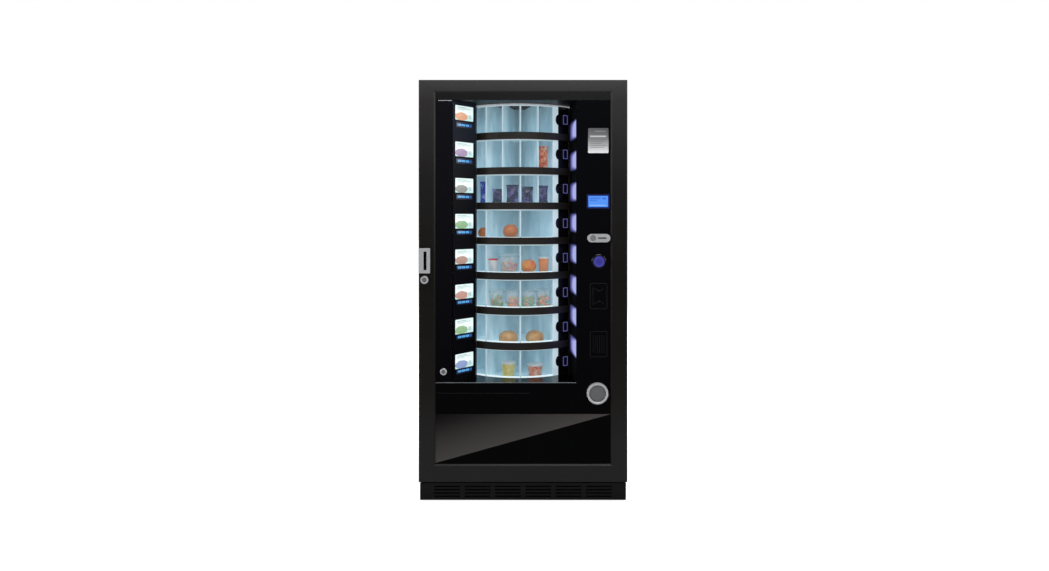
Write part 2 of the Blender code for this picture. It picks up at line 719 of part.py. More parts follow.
def controls():
    """Screen, coin slot, coin cup and the coin mechanism behind them."""
    x, z, width, height = LCD
    low = (x - width / 2, PANEL_Y + 0.0008, z - height / 2)
    screen = box("lcd_display", low, (x + width / 2, PANEL_Y + 0.018, z + height / 2), "screen")
    x, z, width, height = COIN_SLOT
    slot = rectangle(x - width / 2, x + width / 2, z - height / 2, z + height / 2)
    x, z, radius = RETURN_BUTTON
    hole = circle(x, z, radius + 0.0006)
    bezel = plate(
        "coin_slot_bezel", [pill(*BEZEL), slot, hole], PANEL_Y - 0.0115, PANEL_Y - GAP, ACROSS_Y, "satin_steel"
    )
    soft_edge = bezel.modifiers.new("Edge", "BEVEL")
    soft_edge.width = 0.0012
    soft_edge.segments = 1
    soft_edge.angle_limit = math.radians(60)
    back, front = -0.355, PROUD_Y
    profile = [
        (0, back), (0.0435, back), (0.0435, PANEL_Y - GAP), (0.0470, PANEL_Y - GAP), (0.0470, -0.4255),
        (0.0445, front + 0.0008), (0.0400, front), (0.0365, -0.4280), (0.0360, -0.4195), (0.0410, -0.4195),
        (0.0410, back - SHEET), (0, back - SHEET),
    ]
    cup = turned("coin_cup", profile, Matrix.Translation((COIN_CUP[0], 0, COIN_CUP[1])) @ ALONG_Y, "satin_steel")
    mechanism = box("coin_mechanism", (0.262, -0.399, 1.075), (0.374, -0.325, 1.265), "machine_black")
    for px in (0.268, 0.368):
        for pz in (1.082, 1.258):
            join(mechanism, cylinder("standoff", (px, pz), 0.004, PANEL_Y + SHEET + GAP, -0.397, sides=12))
    x, z, width, height = COIN_SLOT
    cut(mechanism, box("chute", (x - 0.018, -0.41, z - 0.004), (x + 0.018, -0.345, z + 0.004)))
    return [screen, bezel, cup, mechanism]


def pull_handle():
    """A plate with a finger cup behind it."""
    back = FACE_Y - GAP
    handle = box(
        "pull_handle", (HANDLE_X[0], PROUD_Y, HANDLE_Z[0]), (HANDLE_X[1], back, HANDLE_Z[1]), "satin_steel"
    )
    cup_low = (RECESS_X[0] - SHEET, back - 0.001, RECESS_Z[0] - SHEET)
    join(handle, box("finger_cup", cup_low, (RECESS_X[1] + SHEET, RECESS_DEPTH_Y + SHEET, RECESS_Z[1] + SHEET)))
    pocket_low = (RECESS_X[0], PROUD_Y - 0.01, RECESS_Z[0])
    return cut(handle, box("finger_pocket", pocket_low, (RECESS_X[1], RECESS_DEPTH_Y, RECESS_Z[1])))


def lock(name, place, radius, barrel, front, behind, depth):
    """A round escutcheon with its barrel, turning about Y."""
    x, z = place
    profile = [
        (0, depth), (barrel, depth), (barrel, behind), (radius, behind), (radius, front + 0.0015),
        (radius - 0.002, front), (0, front),
    ]
    made = turned(name, profile, Matrix.Translation((x, 0, z)) @ ALONG_Y, "satin_steel", 24)
    return cut(made, box("key_slot", (x - 0.0012, front - 0.01, z - 0.006), (x + 0.0012, front + 0.003, z + 0.006)))


def push_button(name, place, finish):
    x, z, radius = place
    front = PROUD_Y + 0.0005
    profile = [
        (0, -0.404), (radius, -0.404), (radius, front + 0.004), (radius * 0.92, front + 0.0015),
        (radius * 0.6, front + 0.0003), (0, front),
    ]
    return turned(name, profile, Matrix.Translation((x, 0, z)) @ ALONG_Y, finish, 28)


def coin_flap():
    x, z = COIN_CUP
    return cylinder("coin_flap", (x, z), 0.0335, -0.4245, -0.4215, "Y", "cup_grey")


def service_flap():
    """The tall cover over the label strip's left side."""
    low = (-INNER_X + GAP * 2, PANEL_Y, SILL_TOP + GAP)
    high = (WINDOW_LEFT - GAP, PANEL_Y + SHEET, WINDOW_TOP - GAP)
    made = box("service_flap", low, high, "black_gloss")
    return cut(made, cylinder("lock_hole", FLAP_LOCK, 0.0115, PANEL_Y - 0.01, PANEL_Y + 0.01))


def delivery_door(number):
    """A curved pane with a framed finger pull at its right end."""
    middle = row_middle(number)
    outline = sector(PANE_R, PANE_ANGLES)
    made = plate(f"delivery_door_{number}", [outline], middle - PANE_HALF, middle + PANE_HALF, finish="clear_pane")
    turn = Matrix.Translation((AXIS_X, AXIS_Y, middle)) @ Matrix.Rotation(math.radians(PULL_ANGLE), 4, "Z")
    outer = box("pull_block", (-0.014, -PULL_R, -0.022), (0.014, -PANE_R[0] - 0.003, 0.022))
    inner = box("pull_pocket", (-0.010, -PULL_R - 0.01, -0.018), (0.010, -PANE_R[1] - 0.002, 0.018))
    for helper in (outer, inner):
        helper.matrix_basis = turn @ helper.matrix_basis
    return cut(join(made, outer), inner)


# ---------------------------------------------------------------- assembly

clear_scene()
vendor = collection("snack_vendor")
helpers = collection("cutters")
helpers.hide_render = True

cabinet()
cooling_unit()
condenser_fan()
gear, pinion, motor, lower_bearing = drive()
drum_axis = pivot("drum_axis", (AXIS_X, AXIS_Y, CHAMBER_FLOOR[1]))
hang([gear, *drum()], drum_axis)

door_axis = pivot("door_axis", (*HINGE, DOOR_BOTTOM))
door = [*door_frame(), *door_panels(), door_grid(), *door_back(), *controls(), pull_handle()]
hang(door, door_axis)
for row in range(1, TRAYS + 1):
    slide_axis = pivot(f"delivery_axis_{row}", (AXIS_X, AXIS_Y, row_middle(row)), door_axis)
    hang([delivery_door(row)], slide_axis)

rotate = push_button("rotate_button", ROTATE_BUTTON, "button_blue")
coin_return = push_button("coin_return_button", RETURN_BUTTON, "cup_grey")
door_lock = lock("door_lock", LOCK, 0.0175, 0.0118, -0.4290, FACE_Y - GAP, -0.390)
flap_lock = lock("flap_lock", FLAP_LOCK, 0.0150, 0.0108, -0.4225, PANEL_Y - GAP, -0.400)
for piece in (rotate, coin_return, door_lock):
    hang([piece], door_axis)
cup_axis = pivot("coin_flap_axis", (COIN_CUP[0], -0.4230, COIN_CUP[1] + 0.0300), door_axis)
hang([coin_flap()], cup_axis)
flap_axis = pivot("service_flap_axis", (-0.3785, PANEL_Y + SHEET / 2, SILL_TOP), door_axis)
hang([service_flap(), flap_lock], flap_axis)
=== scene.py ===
"""Looks of the refrigerated drum vendor: finishes for its solids, and its lit, printed and stocked pieces.

Metres, +Z up, the front faces -Y. Drum angles are in degrees from the front towards +X.
"""

import math
import random

import bmesh
import bpy
from mathutils import Matrix, Vector


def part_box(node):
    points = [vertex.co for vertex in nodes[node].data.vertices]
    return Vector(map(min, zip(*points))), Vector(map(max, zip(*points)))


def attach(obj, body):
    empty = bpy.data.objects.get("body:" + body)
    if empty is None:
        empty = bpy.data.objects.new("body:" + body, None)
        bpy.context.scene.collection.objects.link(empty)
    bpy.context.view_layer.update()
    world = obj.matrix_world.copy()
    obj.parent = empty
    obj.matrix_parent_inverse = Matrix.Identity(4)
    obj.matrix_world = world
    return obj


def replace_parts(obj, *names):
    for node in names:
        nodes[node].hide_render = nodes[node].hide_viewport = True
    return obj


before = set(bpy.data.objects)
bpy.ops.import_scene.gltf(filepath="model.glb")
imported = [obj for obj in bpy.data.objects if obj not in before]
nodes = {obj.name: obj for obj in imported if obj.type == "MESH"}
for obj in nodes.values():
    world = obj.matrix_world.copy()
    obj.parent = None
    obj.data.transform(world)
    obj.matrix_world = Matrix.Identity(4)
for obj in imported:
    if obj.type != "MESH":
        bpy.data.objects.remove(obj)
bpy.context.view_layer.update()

FRONT = Matrix.Rotation(math.radians(90), 4, "X")     # a flat piece's X and Y become X and Z, facing -Y
BACK = Matrix.Rotation(math.pi, 4, "Z") @ FRONT       # the same, facing +Y

HEIGHT = 1.83             # the paint's height ramps, which hold painted light and reflections, are given over this height
ROWS = 8
NARROW_ROWS = 3           # the top trays, with 24 compartments; the others have 12
DIVIDER_PHASE = 2
tray_low, tray_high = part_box("tray_1")
AXIS = (tray_low + tray_high) / 2
TRAY_R = (tray_high.x - tray_low.x) / 2
TRAY_FLOOR = 0.004
PANE_R = (0.3275, 0.3325)
PANE_HALF = 0.0688
PANE_LEFT = -34.5
LIT_EDGE = (28.5, 33.5)   # the frosted band at the right end of a delivery door, which glows with painted light
END_CAP = (33.3, 42.0)
PULL_ANGLE = 38
STOCK_R = 0.262           # how far out the middle of a compartment's goods stands
panel_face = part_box("payment_panel")[0].y
frame_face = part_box("frame_stile_left")[0].y
strip_low, strip_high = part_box("label_strip")
window_low = strip_low.z
window_high = strip_high.z


def rgb(red, green, blue):
    """A display colour from 0 to 255 as the linear colour that shaders take."""
    def linear(value):
        value /= 255
        return value / 12.92 if value <= 0.04045 else ((value + 0.055) / 1.055) ** 2.4
    return (linear(red), linear(green), linear(blue), 1)


def shades(*stops):
    """A ramp's stops, each given as (position, red, green, blue)."""
    return [(position, rgb(*colour)) for position, *colour in stops]


def row_middle(row):
    low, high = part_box(f"delivery_door_{row}")
    return (low.z + high.z) / 2


ROW_PITCH = row_middle(1) - row_middle(2)
ROW_LOW = row_middle(ROWS) - ROW_PITCH / 2


def on_drum(radius, angle, z):
    turn = math.radians(angle)
    return Vector((AXIS.x + radius * math.sin(turn), AXIS.y - radius * math.cos(turn), z))


# ---- node trees

class Wire:
    """One output in a node tree; arithmetic on it adds Math nodes."""

    def __init__(self, tree, socket):
        self.tree, self.socket = tree, socket

    def math(self, operation, *values):
        return self.tree.node("ShaderNodeMath", {"operation": operation}, dict(enumerate(values)))

    def __add__(self, other):
        return self.math("ADD", self, other)

    def __sub__(self, other):
        return self.math("SUBTRACT", self, other)

    def __rsub__(self, other):
        return self.math("SUBTRACT", other, self)

    def __mul__(self, other):
        return self.math("MULTIPLY", self, other)

    def __truediv__(self, other):
        return self.math("DIVIDE", self, other)

    def __pow__(self, other):
        return self.math("POWER", self, other)

    def __gt__(self, other):
        return self.math("GREATER_THAN", self, other)

    def __lt__(self, other):
        return self.math("LESS_THAN", self, other)

    def size(self):
        return self.math("ABSOLUTE", self)


class Tree:
    """A node tree and the one method that adds any node to it."""

    def __init__(self, tree):
        self.tree = tree

    def node(self, kind, settings=None, inputs=None, out=0):
        made = self.tree.nodes.new(kind)
        for name, value in (settings or {}).items():
            if name == "stops":
                self.stops(made.color_ramp, value)
            else:
                setattr(made, name, value)
        for name, value in (inputs or {}).items():
            if isinstance(value, Wire):
                self.tree.links.new(value.socket, made.inputs[name])
            else:
                made.inputs[name].default_value = value
        return Wire(self, made.outputs[out])

    @staticmethod
    def stops(ramp, stops):
        while len(ramp.elements) < len(stops):
            ramp.elements.new(1)
        for element, (position, colour) in zip(ramp.elements, stops):
            element.position = position
            element.color = colour


class Finish(Tree):
    """A material: its Principled shader and the patterns that feed it."""

    def __init__(self, name, **sockets):
        self.material = bpy.data.materials.new(name)
        self.material.use_nodes = True
        super().__init__(self.material.node_tree)
        self.shader = self.tree.nodes["Principled BSDF"]
        self.where = self.node("ShaderNodeTexCoord", out="Object")
        self.set(**sockets)

    def set(self, **sockets):
        """Sets or links shader sockets: base_color is Base Color, ior is IOR."""
        for name, value in sockets.items():
            title = name.replace("_", " ").title().replace("Ior", "IOR")
            socket = self.shader.inputs[title]
            if isinstance(value, Wire):
                self.tree.links.new(value.socket, socket)
            else:
                socket.default_value = value
        return self

    def axis(self, letter, source=None):
        return self.node("ShaderNodeSeparateXYZ", None, {0: source or self.where}, letter)

    def uv(self, letter):
        return self.axis(letter, self.node("ShaderNodeTexCoord", out="UV"))

    def stretched(self, scale):
        return self.node("ShaderNodeMapping", None, {"Vector": self.where, "Scale": scale})

    def noise(self, scale, detail=2.0, roughness=0.5, source=None):
        inputs = {"Vector": source or self.where, "Scale": scale, "Detail": detail, "Roughness": roughness}
        return self.node("ShaderNodeTexNoise", None, inputs)

    def sparks(self, scale):
        inputs = {"Vector": self.where, "Scale": scale}
        return self.node("ShaderNodeTexVoronoi", {"feature": "SMOOTH_F1"}, inputs)

    def ramp(self, value, stops):
        return self.node("ShaderNodeValToRGB", {"stops": stops}, {0: value})

    def mix(self, share, first, second, blend="MIX"):
        settings = {"data_type": "RGBA", "clamp_factor": True, "blend_type": blend}
        return self.node("ShaderNodeMix", settings, {0: share, 6: first, 7: second}, 2)

    def times(self, first, second):
        return self.mix(1.0, first, second, "MULTIPLY")

    def tones(self, value, *stops):
        return self.ramp(value, shades(*stops))

    def between(self, value, low, high):
        """1 where a value lies between two bounds, else 0."""
        return (value > low) * (value < high)

    def block(self, u, v, left, right, bottom, top):
        """1 inside a rectangle of a card, else 0."""
        return self.between(u, left, right) * self.between(v, bottom, top)

    def reach(self, node):
        """How far a point is from the middle of a round solid's front: 1 at its rim."""
        low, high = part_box(node)
        middle = (low + high) / 2
        x, z = self.axis("X") - middle.x, self.axis("Z") - middle.z
        return (x * x + z * z) ** 0.5 / (high.x - middle.x)

    def bump(self, height, strength, distance=0.001):
        inputs = {"Height": height, "Strength": strength, "Distance": distance}
        return self.node("ShaderNodeBump", None, inputs)


# ---- finishes

def sprayed(name, stops, roughness, peel=0.25, **sockets):
    """Stoved paint: painted light and reflections that change with height, orange peel, handling smears and a
    little dust.
    """
    made = Finish(name, **sockets)
    # Painted light: the tone ramp over height stands in for how the studio light and its reflections fall,
    # mostly lighter towards the top.
    tone = made.ramp(made.axis("Z") / HEIGHT, stops)
    cloud = made.noise(7, 4, 0.6)
    worn = made.noise(46, 5, 0.7)
    tone = made.mix(cloud * 0.35, tone, made.mix(0.4, tone, (0, 0, 0, 1)))
    tone = made.mix((worn > 0.71) * 0.18, tone, rgb(120, 116, 112))
    return made.set(
        base_color=tone,
        roughness=made.noise(11, 4, 0.6) * 0.16 + (roughness - 0.08),
        normal=made.bump(made.noise(620, 1), peel, 0.0004),
    )


def glossy(name, stops, roughness=0.10, **sockets):
    """Dark acrylic and glass: deep, slightly uneven gloss with wiping marks, and painted reflections that
    change with height.
    """
    made = Finish(name, **sockets)
    # Painted reflection: the tone ramp over height stands in for the studio's reflections in the gloss,
    # lighter towards the top.
    tone = made.ramp(made.axis("Z") / HEIGHT, stops)
    wiped = made.noise(3, 5, 0.65, made.stretched((1, 1, 5)))
    return made.set(
        base_color=made.mix(wiped * 0.5, tone, made.mix(0.5, tone, (0, 0, 0, 1))),
        roughness=wiped * 0.16 + (roughness - 0.06),
        normal=made.bump(made.noise(4, 1), 0.05, 0.002),
    )


def brushed(name, light, dark, grain=(6, 6, 900), roughness=0.3, metallic=1.0):
    """Rolled or brushed metal with fine grain, duller patches and faint tarnish."""
    made = Finish(name, metallic=metallic)
    grained = made.noise(1, 3, 0.6, made.stretched(grain))
    patch = made.noise(24, 4, 0.6)
    return made.set(
        base_color=made.mix(grained * 0.6 + patch * 0.3, rgb(*light), rgb(*dark)),
        roughness=grained * 0.18 + patch * 0.12 + (roughness - 0.15),
        normal=made.bump(grained, 0.12, 0.0004),
    )


def moulded(name, colour, shade, roughness=0.45, texture=420, **sockets):
    """Moulded plastic or rubber with a fine spark texture."""
    made = Finish(name, **sockets)
    cloud = made.noise(14, 3, 0.6)
    return made.set(
        base_color=made.mix(cloud, rgb(*colour), rgb(*shade)),
        roughness=cloud * 0.14 + (roughness - 0.07),
        normal=made.bump(made.sparks(texture), 0.18, 0.0003),
    )


def painted_light_tray(name, top_light):
    """Tray moulding in painted light, glowing as if lit by the window lamps: cyan walls, a painted highlight
    on the outer rim and painted shade falling off inwards and towards each row's top.
    """
    made = Finish(name, roughness=0.3, emission_strength=1.0)
    x = made.axis("X") - AXIS.x
    y = made.axis("Y") - AXIS.y
    radius = (x * x + y * y) ** 0.5
    streaks = made.noise(7, 4, 0.62, made.stretched((2.2, 2.2, 0.7)))
    wall = made.tones(streaks, (0.30, 84, 116, 130), (0.5, 122, 154, 168), (0.68, 160, 188, 198))
    # Painted shade: darker towards the axis, deeper in each compartment.
    depth = made.ramp(radius / TRAY_R, [(0.15, (0.45, 0.45, 0.45, 1)), (0.95, (1, 1, 1, 1))])
    height = (made.axis("Z") - ROW_LOW) / ROW_PITCH
    # Painted shade: darker towards the top of each row, under the tray above.
    rise = made.ramp(
        height.math("FRACT", height),
        [(0.05, (1.1, 1.1, 1.1, 1)), (0.35, (0.94, 0.94, 0.94, 1)), (0.8, (0.62, 0.62, 0.62, 1))],
    )
    shaded = made.times(made.times(wall, depth), rise)
    # Painted highlight: the outer rim is lighter and glows nearly white.
    rim = radius > TRAY_R - 0.0042
    return made.set(
        base_color=made.mix(rim, rgb(150, 170, 178), rgb(215, 222, 224)),
        emission_color=made.mix(rim * 0.85, shaded, rgb(214, 232, 238)),
        normal=made.bump(made.noise(160, 2), 0.08, 0.0006),
        emission_strength=top_light,
    )


def clear(name, tint, alpha, roughness=0.04):
    """Clear acrylic: nearly invisible, with gloss, faint scratches and finger marks."""
    made = Finish(name, ior=1.49, specular_ior_level=0.35)
    marks = made.noise(9, 5, 0.7)
    return made.set(
        base_color=made.mix(marks * 0.6, rgb(*tint), rgb(214, 226, 230)),
        roughness=marks * 0.12 + roughness,
        alpha=marks * 0.04 + alpha,
    )


def glowing(name, colour, edge, strength, base, scale=30.0):
    """A lamp cover lit from behind, or a part that is no lamp glowing with painted light; with soft uneven
    patches.
    """
    made = Finish(name, base_color=rgb(*base), roughness=0.3, emission_strength=strength)
    patch = made.noise(scale, 2, 0.5)
    return made.set(
        emission_color=made.mix(patch, rgb(*colour), rgb(*edge)),
        normal=made.bump(made.noise(300, 1), 0.08, 0.0004),
    )


def instruction_print():
    """Plain bars in place of words, on a ground that darkens towards its top."""
    made = Finish("instruction_print", roughness=0.35)
    u, v = made.uv("X"), made.uv("Y")
    grey = rgb(70, 71, 74)
    bars = [(0.34, 0.86, 0.86, 0.885, rgb(130, 130, 134)), (0.10, 0.88, 0.64, 0.70, rgb(176, 176, 180))]
    bars += [(0.12, 0.88 - 0.11 * (i % 3), 0.52 - 0.075 * i, 0.535 - 0.075 * i, grey) for i in range(5)]
    colour = made.tones(v, (0, 206, 206, 207), (0.30, 150, 150, 152), (0.62, 98, 98, 101), (1, 50, 50, 53))
    for *edges, ink in bars:
        colour = made.mix(made.block(u, v, *edges) * 0.92, colour, ink)
    fibre = made.noise(700, 2)
    colour = made.mix(fibre * 0.10, colour, rgb(120, 124, 130))
    return made.set(base_color=colour, normal=made.bump(fibre, 0.06, 0.0002))


def price_card():
    """A lit price label: grey bars for words and a soft coloured picture of the goods."""
    made = Finish("price_card_print", roughness=0.32, emission_strength=0.96)
    u, v = made.uv("X"), made.uv("Y")
    ink = made.node("ShaderNodeAttribute", {"attribute_name": "goods_colour"}, None, "Color")
    colour = made.tones(v, (0, 176, 214, 212), (0.5, 226, 240, 236), (1, 206, 228, 226))
    for low, high, right in ((0.86, 0.90, 0.62), (0.78, 0.81, 0.84), (0.71, 0.735, 0.50)):
        colour = made.mix(made.block(u, v, 0.10, right, low, high) * 0.7, colour, rgb(96, 110, 118))
    blob = made.noise(150, 3, 0.6)
    reach = (((u - 0.34) * 0.8) ** 2 + (v - 0.26) ** 2) ** 0.5 + blob * 0.16
    dark, pale = made.mix(0.35, ink, (0, 0, 0, 1)), made.mix(0.3, ink, (1, 0.9, 0.75, 1))
    goods = made.mix(made.noise(240, 2), dark, pale)
    colour = made.mix((reach < 0.36) * 0.9, colour, goods)
    colour = made.mix(made.block(u, v, 0.72, 0.90, 0.14, 0.42) * 0.5, colour, rgb(130, 150, 158))
    return made.set(base_color=made.mix(0.72, colour, (0, 0, 0, 1)), emission_color=colour)


def price_display():
    """A blue display: three lit blocks in a dark window with a blue haze round them."""
    made = Finish("price_display_glass", roughness=0.12, base_color=rgb(6, 8, 20), emission_strength=1.0)
    u, v = made.uv("X"), made.uv("Y")
    colour = made.tones(v, (0, 14, 34, 84), (0.5, 34, 92, 168), (1, 14, 34, 84))
    for left, right in ((0.10, 0.30), (0.35, 0.55), (0.60, 0.80)):
        lit = made.block(u, v, left, right, 0.24, 0.76)
        hollow = made.block(u, v, left + 0.05, right - 0.05, 0.40, 0.60)
        colour = made.mix(lit * (1 - hollow * 0.7), colour, rgb(104, 186, 238))
    return made.set(emission_color=colour)


def screen_glass():
    """The vendor's blue screen: a lit field in a darker surround, with a few plain bars on it."""
    low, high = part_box("lcd_display")
    made = Finish("screen_glass", roughness=0.12, base_color=rgb(10, 22, 60), emission_strength=1.0)
    u = (made.axis("X") - low.x) / (high.x - low.x)
    v = (made.axis("Z") - low.z) / (high.z - low.z)
    field = made.mix(made.noise(40, 2), rgb(78, 138, 238), rgb(94, 158, 248))
    for edges in ((0.10, 0.62, 0.72, 0.79), (0.10, 0.46, 0.56, 0.62), (0.70, 0.88, 0.66, 0.80)):
        field = made.mix(made.block(u, v, *edges) * 0.6, field, rgb(34, 74, 170))
    field = made.mix(made.block(u, v, 0.10, 0.86, 0.16, 0.22), field, rgb(150, 196, 255))
    inside = made.block(u, v, 0.035, 0.965, 0.06, 0.94)
    return made.set(emission_color=made.mix(inside, rgb(20, 34, 110), field))


def split_panel():
    """The lower panel: grey-brown above a rising diagonal and black below it."""
    made = Finish("lower_panel_print", specular_ior_level=0.25)
    low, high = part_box("lower_panel")
    x, z = made.axis("X"), made.axis("Z")
    start = 0.004             # the diagonal starts this far above the panel's lower corner
    rise = (high.z - low.z - start) / (high.x - low.x)
    above = z - low.z - start - (x - low.x) * rise
    fade = shades((0, 60, 56, 56), (0.4, 47, 44, 43), (0.8, 22, 20, 20), (1, 8, 7, 7))
    tone = made.ramp(above / 0.20, fade)
    tone = made.mix(made.noise(5, 4, 0.6) * 0.25, tone, rgb(28, 25, 25))
    return made.set(
        base_color=made.mix(above > 0, rgb(1, 1, 2), tone),
        roughness=made.noise(6, 4, 0.6) * 0.2 + 0.22,
        normal=made.bump(made.noise(900, 2), 0.05, 0.0003),
    )


def foodstuff(name, scale, roughness, bump, *stops, glow=0.16):
    """Goods under the window lamps: a mottled skin, dough or filling that also glows faintly with painted
    light.
    """
    made = Finish(name, emission_strength=glow)
    mottled = made.noise(scale, 4, 0.62)
    colour = made.ramp(mottled, shades(*stops))
    return made.set(
        base_color=colour,
        emission_color=colour,
        roughness=mottled * 0.2 + (roughness - 0.1),
        normal=made.bump(made.noise(scale * 6, 3), bump, 0.001),
    )


# ---- shapes

def mesh_from(work, place=None):
    """The mesh of what was worked on, moved to its place."""
    if place:
        work.transform(place)
    made = bpy.data.meshes.new("shape")
    work.to_mesh(made)
    work.free()
    return made


def slab(outline, low, high, place=None, edge=0.0):
    """A flat shape of one outline between two heights, with soft edges; its UV map spans the outline."""
    work = bmesh.new()
    face = work.faces.new([work.verts.new((x, y, low)) for x, y in outline])
    moved = bmesh.ops.extrude_face_region(work, geom=[face])["geom"]
    top = [item for item in moved if isinstance(item, bmesh.types.BMVert)]
    bmesh.ops.translate(work, verts=top, vec=(0, 0, high - low))
    bmesh.ops.recalc_face_normals(work, faces=work.faces)
    if edge:
        sharp = [e for e in work.edges if e.calc_face_angle(0) > math.radians(30)]
        bmesh.ops.bevel(work, geom=sharp, offset=edge, segments=2, profile=0.6, affect="EDGES")
    xs, ys = [x for x, _ in outline], [y for _, y in outline]
    left, bottom = min(xs), min(ys)
    width, height = max(xs) - left, max(ys) - bottom
    layer = work.loops.layers.uv.new("face")
    for face in work.faces:
        for loop in face.loops:
            loop[layer].uv = ((loop.vert.co.x - left) / width, (loop.vert.co.y - bottom) / height)
    return mesh_from(work, place)


def rectangle(x0, x1, y0, y1, radius=0.0):
    """A rectangle, with round corners when a radius is given."""
    if not radius:
        return [(x0, y0), (x1, y0), (x1, y1), (x0, y1)]
    points = []
    corners = ((x1 - radius, y0 + radius, -90), (x1 - radius, y1 - radius, 0),
               (x0 + radius, y1 - radius, 90), (x0 + radius, y0 + radius, 180))
    for x, y, start in corners:
        for i in range(5):
            angle = math.radians(start + 22.5 * i)
            points.append((x + radius * math.cos(angle), y + radius * math.sin(angle)))
    return points


def sector(radii, angles, step=3.0):
    """A ring sector seen from above, between two radii and two drum angles."""
    count = max(1, math.ceil(abs(angles[1] - angles[0]) / step))
    turns = [angles[0] + (angles[1] - angles[0]) * i / count for i in range(count + 1)]
    outer = [on_drum(radii[1], turn, 0)[:2] for turn in turns]
    inner = [on_drum(radii[0], turn, 0)[:2] for turn in reversed(turns)]
    return outer + inner


def ring(outer, inner, low, high, place=None):
    """A flat frame between two outlines that have the same number of points."""
    work = bmesh.new()
    count = len(outer)
    loops = [[work.verts.new((x, y, z)) for x, y in line] for line, z in
             ((outer, low), (outer, high), (inner, high), (inner, low))]
    for first, second in zip(loops, loops[1:] + loops[:1]):
        for i in range(count):
            j = (i + 1) % count
            work.faces.new((first[i], first[j], second[j], second[i]))
    bmesh.ops.recalc_face_normals(work, faces=work.faces)
    return mesh_from(work, place)


def turned(profile, steps, place=None):
    """A profile of (radius, height) points turned about Z."""
    work = bmesh.new()
    verts = [work.verts.new((r, 0, z)) for r, z in profile]
    edges = [work.edges.new(pair) for pair in zip(verts, verts[1:])]
    bmesh.ops.spin(work, geom=verts + edges, cent=(0, 0, 0), axis=(0, 0, 1), angle=math.tau, steps=steps)
    bmesh.ops.remove_doubles(work, verts=work.verts, dist=0.00002)
    bmesh.ops.dissolve_degenerate(work, edges=work.edges, dist=0.00001)
    bmesh.ops.recalc_face_normals(work, faces=work.faces)
    return mesh_from(work, place)


def tube(points, radius, closed=False, smooth=True):
    """A round bar or pipe along a line of points."""
    curve = bpy.data.curves.new("pipe", "CURVE")
    curve.dimensions = "3D"
    curve.bevel_depth = radius
    curve.bevel_resolution = 3
    curve.use_fill_caps = True
    spline = curve.splines.new("NURBS" if smooth else "POLY")
    spline.points.add(len(points) - 1)
    for point, place in zip(spline.points, points):
        point.co = (*place, 1)
    spline.use_cyclic_u = closed
    if smooth:
        spline.order_u = 3
        spline.use_endpoint_u = True
        spline.resolution_u = 6
    return evaluated(bpy.data.objects.new("pipe", curve))


def evaluated(obj):
    """The finished mesh of a curve or of an object with modifiers; the object is removed."""
    bpy.context.scene.collection.objects.link(obj)
    bpy.context.view_layer.update()
    made = bpy.data.meshes.new_from_object(obj.evaluated_get(bpy.context.evaluated_depsgraph_get()))
    bpy.data.objects.remove(obj)
    return made


def moved(mesh, place):
    mesh.transform(place)
    return mesh


def at(x, y, z):
    return Matrix.Translation((x, y, z))


def piece(name, body, parts, slot=None):
    """One object of several (mesh, finish) parts, riding on a body."""
    made = []
    for mesh, finish in parts:
        if finish is not None:
            mesh.materials.clear()
            mesh.materials.append(finish.material)
        obj = bpy.data.objects.new(name, mesh)
        bpy.context.scene.collection.objects.link(obj)
        made.append(obj)
    first = made[0]
    if len(made) > 1:
        with bpy.context.temp_override(
            active_object=first, selected_editable_objects=made, selected_objects=made
        ):
            bpy.ops.object.join()
    first.name = first.data.name = name
    first.data.shade_smooth()
    first.data.set_sharp_from_angle(angle=math.radians(32))
    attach(first, body)
    return first if slot else first


# ---- repeated pieces

class Repeater(Tree):
    """A Geometry Nodes tree that puts a small shape on points, turned by each point's own angle."""

    def __init__(self, name, sizes):
        super().__init__(bpy.data.node_groups.new(name, "GeometryNodeTree"))
        face = self.tree.interface
        face.new_socket("Geometry", in_out="INPUT", socket_type="NodeSocketGeometry")
        for size, value in sizes.items():
            face.new_socket(size, in_out="INPUT", socket_type="NodeSocketFloat").default_value = value
        face.new_socket("Finish", in_out="INPUT", socket_type="NodeSocketMaterial")
        face.new_socket("Geometry", in_out="OUTPUT", socket_type="NodeSocketGeometry")
        self.entry = self.tree.nodes.new("NodeGroupInput")

    def given(self, name):
        return Wire(self, self.entry.outputs[name])

    def close(self, shape):
        """Puts the shape on the points, makes it real and gives it its finish."""
        turn = self.node(
            "GeometryNodeInputNamedAttribute", {"data_type": "FLOAT_VECTOR"}, {"Name": "turn"}, "Attribute"
        )
        spread = self.node(
            "GeometryNodeInstanceOnPoints",
            None,
            {"Points": self.given("Geometry"), "Instance": shape, "Rotation": turn},
        )
        real = self.node("GeometryNodeRealizeInstances", None, {0: spread})
        done = self.node(
            "GeometryNodeSetMaterial", None, {"Geometry": real, "Material": self.given("Finish")}
        )
        exit_node = self.tree.nodes.new("NodeGroupOutput")
        self.tree.links.new(done.socket, exit_node.inputs[0])
        return self.tree


def bar_tree():
    """A small bar with a given width, depth and height."""
    made = Repeater("bars", {"Width": 0.01, "Depth": 0.01, "Height": 0.01})
    sides = {0: made.given("Width"), 1: made.given("Depth"), 2: made.given("Height")}
    size = made.node("ShaderNodeCombineXYZ", None, sides)
    return made.close(made.node("GeometryNodeMeshCube", None, {"Size": size}))


def bead_tree():
    """A thin upright rod."""
    made = Repeater("beads", {"Radius": 0.002, "Height": 0.1})
    ends = {end: made.node("ShaderNodeCombineXYZ", None, {2: made.given("Height") * share})
            for end, share in (("Start", -0.5), ("End", 0.5))}
    line = made.node("GeometryNodeCurvePrimitiveLine", None, ends)
    circle = made.node(
        "GeometryNodeCurvePrimitiveCircle", None, {"Resolution": 8, "Radius": made.given("Radius")}
    )
    swept = {"Curve": line, "Profile Curve": circle, "Fill Caps": True}
    return made.close(made.node("GeometryNodeCurveToMesh", None, swept))


